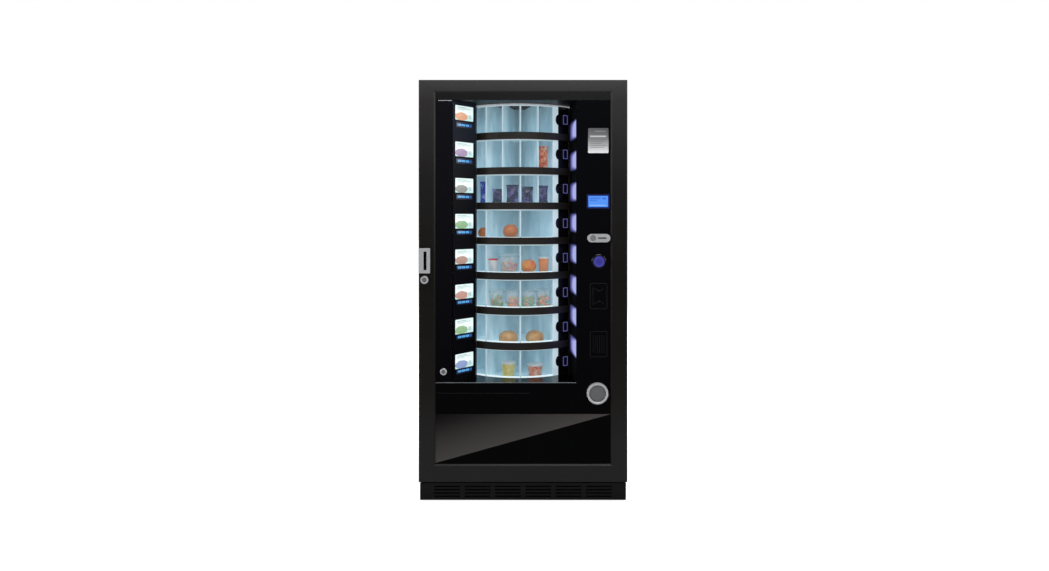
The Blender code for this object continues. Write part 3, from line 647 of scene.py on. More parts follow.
def screw_tree():
    """A low round screw head standing along its own Z, with a smaller raised socket rim."""
    made = Repeater("screws", {"Radius": 0.005, "Height": 0.002})
    head = made.node(
        "GeometryNodeMeshCone", None,
        {"Vertices": 20, "Side Segments": 2, "Radius Top": made.given("Radius") * 0.72,
         "Radius Bottom": made.given("Radius"), "Depth": made.given("Height")},
    )
    socket = made.node(
        "GeometryNodeMeshCone", None,
        {"Vertices": 6, "Radius Top": made.given("Radius") * 0.30,
         "Radius Bottom": made.given("Radius") * 0.42, "Depth": made.given("Height") * 0.3},
    )
    lift = made.node("ShaderNodeCombineXYZ", None, {2: made.given("Height") * 0.99})
    raised = made.node("GeometryNodeTransform", None, {"Geometry": socket, "Translation": lift})
    joined = made.tree.nodes.new("GeometryNodeJoinGeometry")
    for part in (head, raised):
        made.tree.links.new(part.socket, joined.inputs[0])
    return made.close(Wire(made, joined.outputs[0]))


def repeated(tree, points, turns, finish, **sizes):
    """A tree's shape at each point, as one plain mesh. A turn is an Euler rotation in radians."""
    mesh = bpy.data.meshes.new("points")
    mesh.from_pydata([tuple(p) for p in points], [], [])
    mesh.attributes.new("turn", "FLOAT_VECTOR", "POINT").data.foreach_set(
        "vector", [value for turn in turns for value in turn]
    )
    obj = bpy.data.objects.new("points", mesh)
    change = obj.modifiers.new("Repeat", "NODES")
    change.node_group = tree
    given = {**sizes, "Finish": finish.material}
    for item in tree.interface.items_tree:
        if item.in_out == "INPUT" and item.name in given:
            change[item.identifier] = given[item.name]
    return evaluated(obj)


BARS, BEADS, SCREWS = bar_tree(), bead_tree(), screw_tree()
FACING = {
    "front": (math.pi / 2, 0, 0), "back": (-math.pi / 2, 0, 0),
    "left": (0, -math.pi / 2, 0), "right": (0, math.pi / 2, 0), "up": (0, 0, 0),
}


# ---- finishes of the CAD solids

# Painted reflection: the frame is lighter at the top and bottom and darkest at mid height, as the studio's
# reflections fall.
frame_paint = sprayed(
    "frame_paint",
    shades((0.05, 28, 28, 28), (0.14, 27, 27, 27), (0.26, 20, 17, 15), (0.52, 12, 11, 8),
           (0.76, 19, 17, 17), (0.95, 34, 32, 32), (1, 48, 47, 47)),
    0.42, specular_ior_level=0.3,
)
# Painted shade on the top rail's lower edge, which is near black, and painted light above it, lighter towards
# the top.
rail_top_paint = sprayed(
    "rail_top_paint", shades((0.9695, 6, 6, 7), (0.9700, 38, 37, 37), (1, 50, 49, 49)), 0.42,
    specular_ior_level=0.3,
)
case_paint = sprayed("case_paint", shades((0, 38, 37, 37), (1, 48, 47, 47)), 0.5, 0.5)
rear_sheet = brushed("rear_galvanised", (148, 150, 152), (112, 114, 117), (9, 9, 9), 0.46, 0.4)
pan_paint = sprayed("pan_paint", shades((0, 52, 52, 54), (0.1, 60, 60, 62)), 0.5)
kick_paint = sprayed("kick_paint", shades((0, 11, 11, 13), (0.05, 15, 15, 17)), 0.5, specular_ior_level=0.3)
panel_gloss = glossy(
    "panel_gloss", shades((0.2, 1, 1, 2), (0.6, 3, 3, 6), (1, 5, 6, 9)), specular_ior_level=0.3
)
flap_gloss = glossy("flap_gloss", shades((0.28, 1, 1, 3), (0.95, 13, 13, 18)), specular_ior_level=0.35)
strip_satin = glossy(
    "strip_satin", shades((0.5, 3, 3, 6), (0.76, 8, 8, 13), (0.95, 24, 30, 42)), 0.35, specular_ior_level=0.08
)
grid_paint = sprayed("grid_paint", shades((0.2, 25, 21, 18), (1, 28, 25, 20)), 0.45, 0.3)
inner_white = sprayed("liner_white", shades((0.2, 196, 204, 208), (1, 214, 220, 224)), 0.4, 0.15)
satin_steel = brushed("satin_steel", (186, 187, 190), (136, 137, 141), metallic=0.35)
cup_steel = brushed("cup_steel", (190, 191, 193), (150, 151, 153), (40, 40, 40), 0.34, 0.35)
zinc = brushed("zinc_plate", (190, 190, 184), (142, 142, 136), (60, 60, 60), 0.42)
shaft_steel = brushed("shaft_steel", (186, 188, 190), (128, 130, 134), (3, 3, 700), 0.28)
fin_metal = brushed("fin_metal", (188, 190, 194), (132, 134, 140), (500, 500, 4), 0.4)
gasket_rubber = moulded("gasket_rubber", (34, 34, 35), (24, 24, 25), 0.7)
machine_black = moulded("machine_black", (26, 26, 27), (16, 16, 17), 0.5, 260)
compressor_paint = sprayed("compressor_paint", shades((0, 18, 18, 19), (0.2, 30, 30, 31)), 0.35, 0.6)
gear_plastic = moulded("gear_plastic", (214, 208, 192), (196, 188, 170), 0.5)
flap_grey = moulded("cup_flap_grey", (88, 89, 90), (72, 73, 74), 0.4)
button_grey = moulded("return_button_grey", (120, 120, 122), (76, 76, 80), 0.4)
pane_clear = clear("pane_clear", (120, 140, 146), 0.03)
pack_clear = clear("pack_clear", (220, 236, 240), 0.16, 0.08)
# The trays glow with painted light.
upper_tray = painted_light_tray("upper_tray_lit", 0.86)
lower_tray = painted_light_tray("lower_tray_lit", 0.94)
cap_black = moulded("door_cap_black", (14, 13, 18), (8, 8, 12), 0.22, 200)
copper = brushed("copper_pipe", (196, 122, 86), (140, 82, 58), (30, 30, 30), 0.35)
lamp_white = glowing("lamp_cover", (226, 238, 244), (206, 226, 236), 2.2, (220, 224, 226))
# The pulls' rims glow with a painted lavender highlight.
lavender = glowing("pull_glow", (112, 114, 186), (74, 76, 146), 0.62, (24, 24, 44), 60)
shade_black = moulded("shade_black", (6, 6, 9), (3, 3, 5), 0.8, 300, specular_ior_level=0.05)
# The frosted door edges and lips glow with painted light; they are no lamps.
frost_and_painted_light = glowing("door_edge_frost", (214, 230, 238), (176, 202, 216), 0.72, (120, 130, 136), 24)
lip_frost_and_painted_light = glowing("door_lip_frost", (196, 212, 218), (158, 182, 192), 0.66, (110, 120, 124), 24)


def button_blue():
    """The rotate button: deep blue moulding with a painted violet highlight towards its rim, darker again at
    its edge, and a faint glow.
    """
    made = Finish("rotate_button_blue", roughness=0.22, emission_strength=0.12, coat_weight=0.3)
    # Painted highlight: the violet ring stands in for light on the button towards its rim.
    blues_and_painted_highlight = shades((0, 38, 37, 112), (0.62, 48, 46, 126), (0.8, 62, 58, 146), (0.9, 40, 36, 92))
    colour = made.ramp(made.reach("rotate_button"), blues_and_painted_highlight)
    texture = made.bump(made.noise(260, 2), 0.1, 0.0004)
    return made.set(base_color=colour, emission_color=colour, normal=texture)


def lock_steel(node):
    """A turned lock face with painted shading: a painted highlight at the rim, a darker middle and painted
    shade in the groove round it.
    """
    made = brushed(f"{node}_steel", (186, 187, 190), (136, 137, 141), metallic=0.35)
    # Painted shading that gives the flat face a rounded look, with painted shade in the groove.
    greys_and_painted_shading = shades((0, 96, 96, 99), (0.40, 118, 118, 121), (0.44, 30, 30, 32), (0.50, 30, 30, 32),
                   (0.55, 150, 150, 153), (0.86, 186, 186, 189), (1, 120, 120, 123))
    face = made.ramp(made.reach(node), greys_and_painted_shading)
    return made.set(base_color=made.mix(made.noise(60, 3) * 0.3, face, rgb(110, 110, 112)))


def handle_steel():
    """Satin plate with painted shade darkening its finger pocket."""
    made = brushed("handle_steel", (178, 179, 182), (140, 141, 144), metallic=0.35)
    # Painted shade: the inside of the finger pocket is dark.
    painted_pocket_shade = made.axis("Y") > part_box("pull_handle")[0].y + 0.0012
    grained = made.noise(1, 3, 0.6, made.stretched((6, 6, 900)))
    steel = made.mix(grained, rgb(184, 185, 188), rgb(146, 147, 150))
    return made.set(base_color=made.mix(painted_pocket_shade, steel, rgb(34, 35, 37)))


CAD_FINISHES = {
    case_paint: ["side_panel_left", "side_panel_right", "top_panel"],
    rear_sheet: ["back_panel"],
    pan_paint: ["base_pan"],
    kick_paint: ["kick_grille"],
    inner_white: ["chamber_floor", "door_liner"],
    machine_black: ["foot_front_left", "foot_front_right", "foot_rear_left", "foot_rear_right",
                    "condenser_fan", "drive_motor", "coin_mechanism"],
    compressor_paint: ["compressor"],
    zinc: ["hinge_bracket_lower", "hinge_bracket_upper", "drive_pinion", "lower_bearing"],
    fin_metal: ["condenser", "evaporator"],
    gear_plastic: ["drum_gear"],
    shaft_steel: ["drum_shaft"],
    frame_paint: ["frame_stile_left", "frame_stile_right", "frame_rail_bottom"],
    rail_top_paint: ["frame_rail_top"],
    panel_gloss: ["payment_panel", "sill_panel"],
    strip_satin: ["label_strip"],
    flap_gloss: ["service_flap"],
    split_panel(): ["lower_panel"],
    grid_paint: ["door_grid"],
    gasket_rubber: ["door_gasket"],
    screen_glass(): ["lcd_display"],
    satin_steel: ["coin_slot_bezel"],
    lock_steel("door_lock"): ["door_lock"],
    lock_steel("flap_lock"): ["flap_lock"],
    handle_steel(): ["pull_handle"],
    cup_steel: ["coin_cup"],
    flap_grey: ["coin_flap"],
    button_grey: ["coin_return_button"],
    button_blue(): ["rotate_button"],
    upper_tray: [f"tray_{row}" for row in range(1, NARROW_ROWS + 1)],
    lower_tray: [f"tray_{row}" for row in range(NARROW_ROWS + 1, ROWS + 1)],
}
for cad_finish, names in CAD_FINISHES.items():
    for node_name in names:
        for entry in nodes[node_name].material_slots:
            entry.material = cad_finish.material


# ---- delivery doors

def on_door(angle, middle):
    """A place whose Z points out from the drum's axis at one angle."""
    return at(AXIS.x, AXIS.y, middle) @ Matrix.Rotation(math.radians(angle), 4, "Z") @ FRONT


def pull_frame(middle):
    """The framed finger pull on a door's end cap: a block with a deep pocket and a rim that glows with a
    painted highlight.
    """
    place = on_door(PULL_ANGLE, middle)
    outer = rectangle(-0.0135, 0.0135, -0.0215, 0.0215, 0.003)
    inner = rectangle(-0.0100, 0.0100, -0.0180, 0.0180, 0.002)
    return [
        (ring(outer, inner, 0.3330, 0.3500, place), cap_black),
        (slab(outer, 0.3322, 0.3332, place), cap_black),
        (ring(outer, inner, 0.3500, 0.3518, place), lavender),
    ]


def delivery_door(row):
    """A clear curved pane with frosted top and right edges that glow with painted light, and a black end cap
    that carries the pull.
    """
    middle = row_middle(row)
    low, high = middle - PANE_HALF, middle + PANE_HALF
    inner, outer = PANE_R[0] + 0.0002, PANE_R[1] - 0.0002
    pane = sector((inner + 0.001, outer - 0.001), (PANE_LEFT + 0.2, LIT_EDGE[0] + 0.5))
    lip = sector((inner + 0.0004, outer), (PANE_LEFT + 0.2, LIT_EDGE[0] + 0.2))
    lip_low = middle + (0.0550 if row == 1 else 0.0575)
    edge = sector((inner, outer), LIT_EDGE, 1.5)
    cap = sector((inner, outer + 0.0002), END_CAP, 1.5)
    radius, reach = 0.0230, 0.0135
    turns = [math.pi * (0.5 + i / 12) for i in range(13)]
    scoop = [(reach * math.cos(turn), radius * math.sin(turn)) for turn in turns]
    scoop += [(0.002, -radius), (0.002, radius)]
    parts = [
        (slab(pane, low, high), pane_clear),
        # The lip bands at the pane's top and bottom glow with painted light, a painted highlight along each
        # row.
        (slab(lip, lip_low, middle + 0.0650, None, 0.0008), lip_frost_and_painted_light),
        (slab(lip, low, low + 0.0040, None, 0.0008), lip_frost_and_painted_light),
        (slab(edge, low, high, None, 0.0008), frost_and_painted_light),
        (slab(cap, low, high, None, 0.001), cap_black),
        (slab(scoop, 0.3312, 0.3342, on_door(LIT_EDGE[1] - 0.2, middle), 0.0004), cap_black),
    ]
    node = f"delivery_door_{row}"
    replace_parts(piece(f"{node}_clear", node, parts + pull_frame(middle), "clear_pane"), node)


for door_row in range(1, ROWS + 1):
    delivery_door(door_row)


# ---- label strip

SLANT = Matrix((
    (math.sqrt(0.5), 0, math.sqrt(0.5), 0),
    (math.sqrt(0.5), 0, -math.sqrt(0.5), 0),
    (0, 1, 0, 0),
    (0, 0, 0, 1),
))
# Left, right and half height of the flat shapes on each label, along the slanted strip.
CARD = (0.0160, 0.1180, 0.0320)
DISPLAY = (0.0240, 0.1100, 0.0080)
BEZEL_OUTER = (0.0205, 0.1135, 0.0112)
BEZEL_INNER = (0.0242, 0.1098, 0.0078)
GOODS = [(214, 120, 40), (126, 66, 150), (92, 92, 98), (70, 150, 66), (150, 72, 52), (170, 80, 60),
         (80, 156, 70), (60, 110, 190)]


def on_strip(shape, lift, radius):
    left, right, half = shape
    return rectangle(left, right, lift - half, lift + half, radius)


def label_parts():
    """A price card, a blue display and its bezel for each row; they climb a little towards the bottom."""
    card_print, display_glass = price_card(), price_display()
    cards, displays, bezels = [], [], []
    for row in range(1, ROWS + 1):
        place = at(strip_low.x, strip_low.y, row_middle(row)) @ SLANT
        settle = 0.009 * math.sin(math.pi * (row - 1) / 7)
        lift = 0.0140 + 0.0016 * (row - 1) - settle
        card = slab(on_strip(CARD, lift, 0.003), 0.0004, 0.0020, place, 0.0004)
        ink = card.color_attributes.new("goods_colour", "FLOAT_COLOR", "POINT")
        ink.data.foreach_set("color", list(rgb(*GOODS[row - 1])) * len(card.vertices))
        cards.append((card, card_print))
        drop = -0.0385 + 0.0028 * (row - 1) - settle
        window = slab(on_strip(DISPLAY, drop, 0.002), 0.0004, 0.0016, place, 0.0003)
        displays.append((window, display_glass))
        outer, inner = on_strip(BEZEL_OUTER, drop, 0.004), on_strip(BEZEL_INNER, drop, 0.002)
        bezels.append((ring(outer, inner, 0.0003, 0.0028, place), cap_black))
    piece("price_cards", "main_door", cards)
    piece("price_displays", "main_door", displays, "screen")
    piece("price_display_bezels", "main_door", bezels)


label_parts()


# ---- payment column

def instruction_plate():
    outline = rectangle(0.2822, 0.3712, 1.5128, 1.6213, 0.004)
    plate = slab(outline, -panel_face, -panel_face + 0.0012, FRONT, 0.0006)
    piece("instruction_plate", "main_door", [(plate, instruction_print())])


def embossed_blanks():
    """Two raised blanks for options this vendor does not carry."""
    raised = moulded("blank_plastic", (15, 15, 18), (9, 9, 12), 0.4)
    x0, x1 = 0.2900, 0.3655
    x, y, z = (x0 + x1) / 2, panel_face - 0.0006, 0.892
    parts = []
    for low, high in ((0.8356, 0.9485), (0.6270, 0.7400)):
        outer = rectangle(x0, x1, low, high, 0.008)
        inner = rectangle(x0 + 0.003, x1 - 0.003, low + 0.003, high - 0.003, 0.006)
        parts.append((ring(outer, inner, -panel_face, -panel_face + 0.0016, FRONT), raised))
    for side in (-1, 1):
        arrow = [(x + dx, y, z + side * dz) for dx, dz in ((-0.018, 0.034), (0.006, 0.012), (0.020, 0.034))]
        parts.append((tube(arrow, 0.0012), raised))
    parts.append((tube([(x - 0.024, y, z - 0.04), (x - 0.024, y, z + 0.04)], 0.0012), raised))
    ribs = [(x0 + 0.014 + 0.0095 * i, y, 0.6835) for i in range(6)]
    parts.append((repeated(BEADS, ribs, [(0, 0, 0)] * 6, raised, Radius=0.0011, Height=0.076), None))
    piece("option_blanks", "main_door", parts, "black_gloss")


def control_trims():
    """A blue surround for the screen, a collar round the rotate button and ribs on the return button."""
    low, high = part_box("lcd_display")
    gap, width = 0.0008, 0.005
    inner = rectangle(low.x - gap, high.x + gap, low.z - gap, high.z + gap, 0.002)
    outer = rectangle(low.x - width, high.x + width, low.z - width, high.z + width, 0.005)
    trim = moulded("screen_surround_blue", (22, 24, 66), (14, 15, 44), 0.25)
    parts = [(ring(outer, inner, -panel_face + 0.0002, -panel_face + 0.0030, FRONT), trim)]
    low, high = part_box("rotate_button")
    middle = (low + high) / 2
    radius = (high.x - low.x) / 2
    profile = [(radius + 0.0012, 0.0002), (radius + 0.0065, 0.0002), (radius + 0.0060, 0.0022),
               (radius + 0.0038, 0.0036), (radius + 0.0012, 0.0030), (radius + 0.0012, 0.0002)]
    parts.append((turned(profile, 40, at(middle.x, panel_face, middle.z) @ FRONT), cap_black))
    piece("control_trims", "main_door", parts)
    low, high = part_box("coin_return_button")
    middle = (low + high) / 2
    half = (high.x - low.x) / 2
    ribs = [(middle.x, low.y - 0.0001, middle.z - half * 0.5 + half * 0.25 * i) for i in range(5)]
    grip = repeated(BEADS, ribs, [(0, math.pi / 2, 0)] * 5, button_grey, Radius=0.0004, Height=half)
    piece("return_button_ribs", "coin_return_button", [(grip, None)])


def reveal_glow():
    """Painted light on the reveal beside each pull: brightest at its front edge, with soft ends."""
    made = Finish("reveal_glow", base_color=(0.002, 0.002, 0.003, 1), roughness=0.8, emission_strength=1.0)
    u, v = made.uv("X"), made.uv("Y")
    ends = 1 - (v * 2 - 1).size() ** 3.2
    patch = made.noise(18, 3, 0.6) * 0.5 + 0.75
    share = ends * (1.02 - u) ** 0.8 * patch
    return made.set(
        emission_color=made.ramp(share, [(0.05, (0.001, 0.001, 0.003, 1)), (0.35, rgb(84, 86, 150)),
                                         (0.66, rgb(172, 176, 234))]),
        specular_ior_level=0.05,
    )


def reveal_painted_light():
    """A matt black sheet on the right reveal as painted shade, with a patch of painted light for each row,
    and a dark shade at the grid's right end.
    """
    start, end = Vector((0.2318, -0.4110)), Vector((0.2148, -0.2520))
    length = (end - start).length
    across = (end - start) / length
    place = Matrix((
        (across.x, 0, -across.y, start.x),
        (across.y, 0, across.x, start.y),
        (0, 1, 0, 0),
        (0, 0, 0, 1),
    ))
    # Painted shade: a matt black sheet darkens the reveal.
    cover = slab(rectangle(0, length, window_low + 0.001, window_high - 0.001), 0.0002, 0.0006, place)
    parts = [(cover, shade_black)]
    glow = reveal_glow()
    for row in range(1, ROWS + 1):
        middle = row_middle(row) + 0.0205 * (row - 3.85)
        lens = slab(rectangle(0.002, length - 0.004, middle - 0.044, middle + 0.044), 0.0007, 0.0011, place)
        parts.append((lens, glow))
    piece("reveal_painted_light", "main_door", parts)
    shade = slab(sector((0.3336, 0.3342), (41.6, 43.8), 1.1), row_middle(ROWS) - 0.076, row_middle(1) + 0.076)
    piece("grid_side_shade", "main_door", [(shade, shade_black)])


def bright_lines():
    """Two thin lines under the window, the upper one a painted highlight, a bright strip on the service
    flap's top edge as a painted highlight, and a strip of painted light above the top row.
    """
    # Painted highlight: a bright steel strip stands in for light on the service flap's top edge.
    steel = brushed("bright_trim", (188, 192, 196), (130, 134, 140), (700, 6, 6), 0.3, 0.3)
    dull = moulded("dull_line", (40, 41, 43), (24, 24, 26), 0.4)
    # Painted highlight: the light line along the sill's top edge.
    sill_painted_highlight = moulded("window_line", (128, 133, 138), (62, 66, 70), 0.35, 90)
    face = -panel_face
    piece("window_lines", "main_door", [
        (slab(rectangle(-0.3790, 0.2312, 0.5150, 0.5172), face, face + 0.0012, FRONT, 0.0003), sill_painted_highlight),
        (slab(rectangle(-0.3790, 0.0330, 0.4700, 0.4708), face, face + 0.0005, FRONT), dull),
    ])
    low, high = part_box("service_flap")
    edge = rectangle(low.x + 0.012, high.x - 0.001, high.z - 0.0030, high.z - 0.0004)
    piece("flap_top_painted_highlight", "service_flap", [(slab(edge, face, face + 0.0006, FRONT), steel)])
    strip = slab(sector((0.3462, 0.3475), (-33, 44)), window_high - 0.0065, window_high - 0.0010)
    # Painted light: the strip above the top row glows though it is no lamp.
    glow = glowing("soffit_lamp", (168, 170, 174), (84, 86, 90), 0.95, (110, 112, 116), 60)
    piece("soffit_lamp", "main_door", [(strip, glow)])


instruction_plate()
embossed_blanks()
control_trims()
reveal_painted_light()
bright_lines()


# ---- trays and stock

def divider_beads():
    """Rounded white edges on the trays' dividers, glowing with painted light."""
    edge = glowing("divider_edge", (204, 222, 230), (172, 198, 210), 0.72, (120, 130, 136), 40)
    low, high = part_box("tray_4")
    height = high.z - low.z - TRAY_FLOOR - 0.008
    for name, count, first, last in (("upper", 24, 1, NARROW_ROWS), ("lower", 12, NARROW_ROWS + 1, ROWS)):
        points, turns = [], []
        for row in range(first, last + 1):
            low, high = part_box(f"tray_{row}")
            middle = (low.z + TRAY_FLOOR + high.z) / 2
            for i in range(count):
                angle = DIVIDER_PHASE + i * 360 / count
                points.append(on_drum(TRAY_R - 0.0012, angle, middle))
                turns.append((0, 0, math.radians(angle)))
        beads = repeated(BEADS, points, turns, edge, Radius=0.0034, Height=height)
        piece(f"{name}_divider_beads", "drum", [(beads, None)], "tray_white")


def stand(row, angle, radius):
    """The place of goods on a tray's floor, turned to face outwards."""
    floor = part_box(f"tray_{row}")[0].z + TRAY_FLOOR + 0.0008
    return Matrix.Translation(on_drum(radius, angle, floor)) @ Matrix.Rotation(math.radians(angle), 4, "Z")


def rough_ball(radius, flatten, seed, dimple=0.12):
    """A fruit: a slightly uneven ball with a dimple at its top."""
    rng = random.Random(seed)
    lean = Vector((rng.uniform(-0.1, 0.1), rng.uniform(-0.1, 0.1), 1))
    work = bmesh.new()
    bmesh.ops.create_icosphere(work, subdivisions=4, radius=1)
    for vert in work.verts:
        up = vert.co.dot(lean.normalized())
        sag = dimple * max(0.0, (up - 0.86) / 0.14) ** 2
        vert.co *= 1 + 0.02 * math.sin(3 * vert.co.x + seed) * math.cos(4 * vert.co.y) - sag
        vert.co.z *= flatten
    work.transform(at(0, 0, radius * flatten * 0.985) @ Matrix.Scale(radius, 4))
    return mesh_from(work)


def bun(width, height, seed):
    """A soft domed bun with a flat base."""
    profile = [(0, 0), (0.82, 0), (0.96, 0.10), (1, 0.30), (0.93, 0.58), (0.72, 0.84), (0.40, 0.97), (0, 1)]
    mesh = turned([(r * width, z * height) for r, z in profile], 40)
    for vert in mesh.vertices:
        swell = 1 + 0.035 * math.sin(2 * math.atan2(vert.co.y, vert.co.x) + seed)
        vert.co.x *= swell
        vert.co.y *= swell
    return softened(mesh)


def softened(mesh):
    obj = bpy.data.objects.new("sill_painted_highlight", mesh)
    change = obj.modifiers.new("Round", "SUBSURF")
    change.levels = change.render_levels = 1
    return evaluated(obj)


def pouch(width, height, depth, seed):
    """A filled foil bag: crimped at both ends, crowned in the middle, with creases."""
    rng = random.Random(seed)
    phases = [rng.uniform(0, 6) for _ in range(3)]
    across, up = 14, 20
    work = bmesh.new()
    sheets = []
    for side in (1, -1):
        sheet = []
        for j in range(up + 1):
            v = j / up
            fill = math.sin(math.pi * min(1, max(0, (v - 0.07) / 0.86))) ** 0.55
            line = []
            for i in range(across + 1):
                u = i / across
                crown = math.sin(math.pi * u) ** 0.6
                crease = 0.06 * math.sin(17 * u + phases[0]) * math.sin(9 * v + phases[1])
                swell = side * depth / 2 * fill * crown * (1 + crease) + side * 0.0004
                pull = 1 - 0.10 * fill * abs(2 * u - 1)
                line.append(work.verts.new(((u - 0.5) * width * pull, swell, v * height)))
            sheet.append(line)
        sheets.append(sheet)
    for sheet in sheets:
        for j in range(up):
            for i in range(across):
                work.faces.new((sheet[j][i], sheet[j][i + 1], sheet[j + 1][i + 1], sheet[j + 1][i]))
    front, back = sheets
    rim = [(0, i) for i in range(across)] + [(j, across) for j in range(up)]
    rim += [(up, across - i) for i in range(across)] + [(up - j, 0) for j in range(up)]
    for (j, i), (n, m) in zip(rim, rim[1:] + rim[:1]):
        work.faces.new((front[j][i], front[n][m], back[n][m], back[j][i]))
    bmesh.ops.recalc_face_normals(work, faces=work.faces)
    return mesh_from(work)


def tub(radius, height):
    """A tapered pot with a rolled rim."""
    r = radius
    return turned([(0, 0), (r * 0.78, 0), (r * 0.82, 0.002), (r * 0.96, height - 0.004), (r, height - 0.003),
                   (r, height), (r * 0.93, height), (r * 0.80, 0.004), (0, 0.004)], 36)


def lid(radius, height, rise):
    """A lid that snaps over a pot's rim."""
    return turned([(0, height + 0.0004), (radius * 0.99, height + 0.0004), (radius * 1.03, height - 0.003),
                   (radius * 1.04, height + 0.001), (radius * 0.92, height + 0.0020),
                   (radius * 0.88, height + rise), (0, height + rise)], 36)


def heap(radius, height, seed, count):
    """A loose pile of small pieces in a pack."""
    rng = random.Random(seed)
    parts = []
    for _ in range(count):
        turn, reach = rng.uniform(0, math.tau), radius * math.sqrt(rng.uniform(0, 0.72))
        size = radius * rng.uniform(0.20, 0.32)
        work = bmesh.new()
        bmesh.ops.create_icosphere(work, subdivisions=2, radius=1)
        for vert in work.verts:
            vert.co *= 1 + 0.12 * math.sin(5 * vert.co.x + seed) * math.sin(4 * vert.co.z)
        spin = Matrix.Rotation(rng.uniform(0, 3), 4, "X") @ Matrix.Diagonal((size, size * 0.8, size * 0.5, 1))
        lift = size * 0.5 + rng.uniform(0, 1) * (height - size) * (1 - 0.4 * reach / radius)
        work.transform(at(reach * math.cos(turn), reach * math.sin(turn), lift) @ spin)
        parts.append(mesh_from(work))
    return parts


def potted(radius, height, body, top, rise=0.004):
    """A pot and its lid."""
    return [(tub(radius, height), body), (lid(radius, height, rise), top)]


def lay(name, row, angle, parts, radius=STOCK_R):
    place = stand(row, angle, radius)
    piece(f"stock_{name}", "drum", [(moved(mesh, place), finish) for mesh, finish in parts])


def stock():
    """Goods on the drum: each lies at its own angle in one row."""
    orange = foodstuff("orange_peel", 60, 0.4, 0.5, (0.2, 164, 82, 30), (0.8, 190, 112, 54))
    peach = foodstuff("peach_skin", 14, 0.6, 0.15, (0.25, 150, 34, 26), (0.5, 196, 96, 40),
                      (0.75, 214, 164, 76))
    dough = foodstuff("bun_crust", 34, 0.55, 0.3, (0.2, 150, 98, 54), (0.55, 184, 138, 84),
                      (0.85, 206, 170, 118))
    salad = foodstuff("salad_leaf", 70, 0.5, 0.6, (0.2, 52, 104, 34), (0.6, 104, 158, 52),
                      (0.9, 176, 196, 96))
    carrot = foodstuff("carrot_shreds", 90, 0.5, 0.5, (0.2, 206, 92, 24), (0.8, 240, 146, 60))
    berry = foodstuff("berry_filling", 60, 0.35, 0.4, (0.2, 168, 34, 54), (0.8, 214, 84, 96))
    custard = foodstuff("custard_pot", 48, 0.35, 0.05, (0.3, 190, 168, 66), (0.7, 214, 206, 146))
    rosy = foodstuff("pink_pot", 60, 0.35, 0.05, (0.32, 178, 52, 44), (0.5, 204, 128, 100),
                     (0.7, 214, 196, 176))
    # The pale stops of the violet, blue and red foils are painted highlights on the glossy bags, mixed with
    # their printed colours.
    violet = foodstuff("violet_foil", 26, 0.22, 0.3, (0.38, 14, 14, 40), (0.5, 44, 36, 84),
                       (0.66, 128, 116, 170), glow=0.12)
    blue = foodstuff("blue_foil", 24, 0.22, 0.3, (0.38, 12, 28, 120), (0.52, 40, 70, 180),
                     (0.7, 170, 190, 230))
    red = foodstuff("red_foil", 34, 0.24, 0.3, (0.36, 150, 44, 24), (0.5, 196, 96, 50), (0.66, 214, 190, 170),
                    glow=0.14)
    cup_orange = foodstuff("orange_cup", 24, 0.35, 0.05, (0.3, 184, 98, 50), (0.7, 208, 134, 84))
    white = foodstuff("white_tub", 24, 0.3, 0.05, (0.3, 176, 180, 180), (0.7, 202, 206, 206))
    tan = foodstuff("tan_filling", 50, 0.45, 0.25, (0.3, 150, 98, 70), (0.55, 196, 152, 120),
                    (0.8, 214, 176, 160))

    for name, row, angle, size, seed, foil, radius in (
        ("red_pouch", 2, 24.5, (0.058, 0.112, 0.030), 3, red, 0.268),
        ("violet_pouch_c", 3, 9.0, (0.056, 0.082, 0.030), 14, violet, 0.268),
        ("violet_pouch_d", 3, 24.5, (0.060, 0.088, 0.030), 17, violet, 0.268),
        ("violet_pouch_a", 3, -20.5, (0.060, 0.072, 0.030), 5, violet, STOCK_R),
        ("violet_pouch_b", 3, -5.5, (0.058, 0.090, 0.030), 8, violet, 0.266),
        ("blue_pouch", 3, -35.5, (0.056, 0.108, 0.026), 11, blue, 0.268),
    ):
        lay(name, row, angle, [(pouch(*size, seed), foil)], radius)
    lay("orange", 4, -7.5, [(rough_ball(0.036, 0.96, 1), orange)], 0.266)
    lay("small_orange", 4, -36.0, [(rough_ball(0.029, 0.92, 2), orange)], 0.270)
    slices = [(part, tan if i % 4 else berry) for i, part in enumerate(heap(0.040, 0.076, 21, 30))]
    lay("round_pack", 5, -9.5, slices + potted(0.047, 0.074, pack_clear, pack_clear, 0.016), 0.256)
    lay("yoghurt_cup", 5, -24.5, potted(0.023, 0.062, white, berry), 0.276)
    lay("peach", 5, 10.5, [(rough_ball(0.035, 0.93, 4, 0.2), peach)], 0.266)
    lay("orange_cup", 5, 25.0, potted(0.024, 0.070, cup_orange, white), 0.276)
    for name, angle, most, some, seed in (
        ("leaf", -21.0, salad, carrot, 31),
        ("mixed", -5.5, carrot, salad, 41),
        ("green", 9.5, salad, carrot, 51),
        ("carrot", 25.0, carrot, salad, 61),
    ):
        pieces = [(part, most if i % 3 else some) for i, part in enumerate(heap(0.031, 0.066, seed, 44))]
        lay(f"salad_{name}", 6, angle, pieces + potted(0.036, 0.074, pack_clear, pack_clear, 0.010), 0.272)
    lay("bun_left", 7, -9.7, [(bun(0.044, 0.050, 1), dough)])
    lay("bun_right", 7, 17.0, [(bun(0.044, 0.050, 4), dough)])
    lay("custard_pot", 8, -9.7, potted(0.033, 0.062, custard, white), 0.266)
    lay("pink_pot", 8, 17.0, potted(0.036, 0.052, rosy, white), 0.266)


divider_beads()
stock()


# ---- cabinet and door details

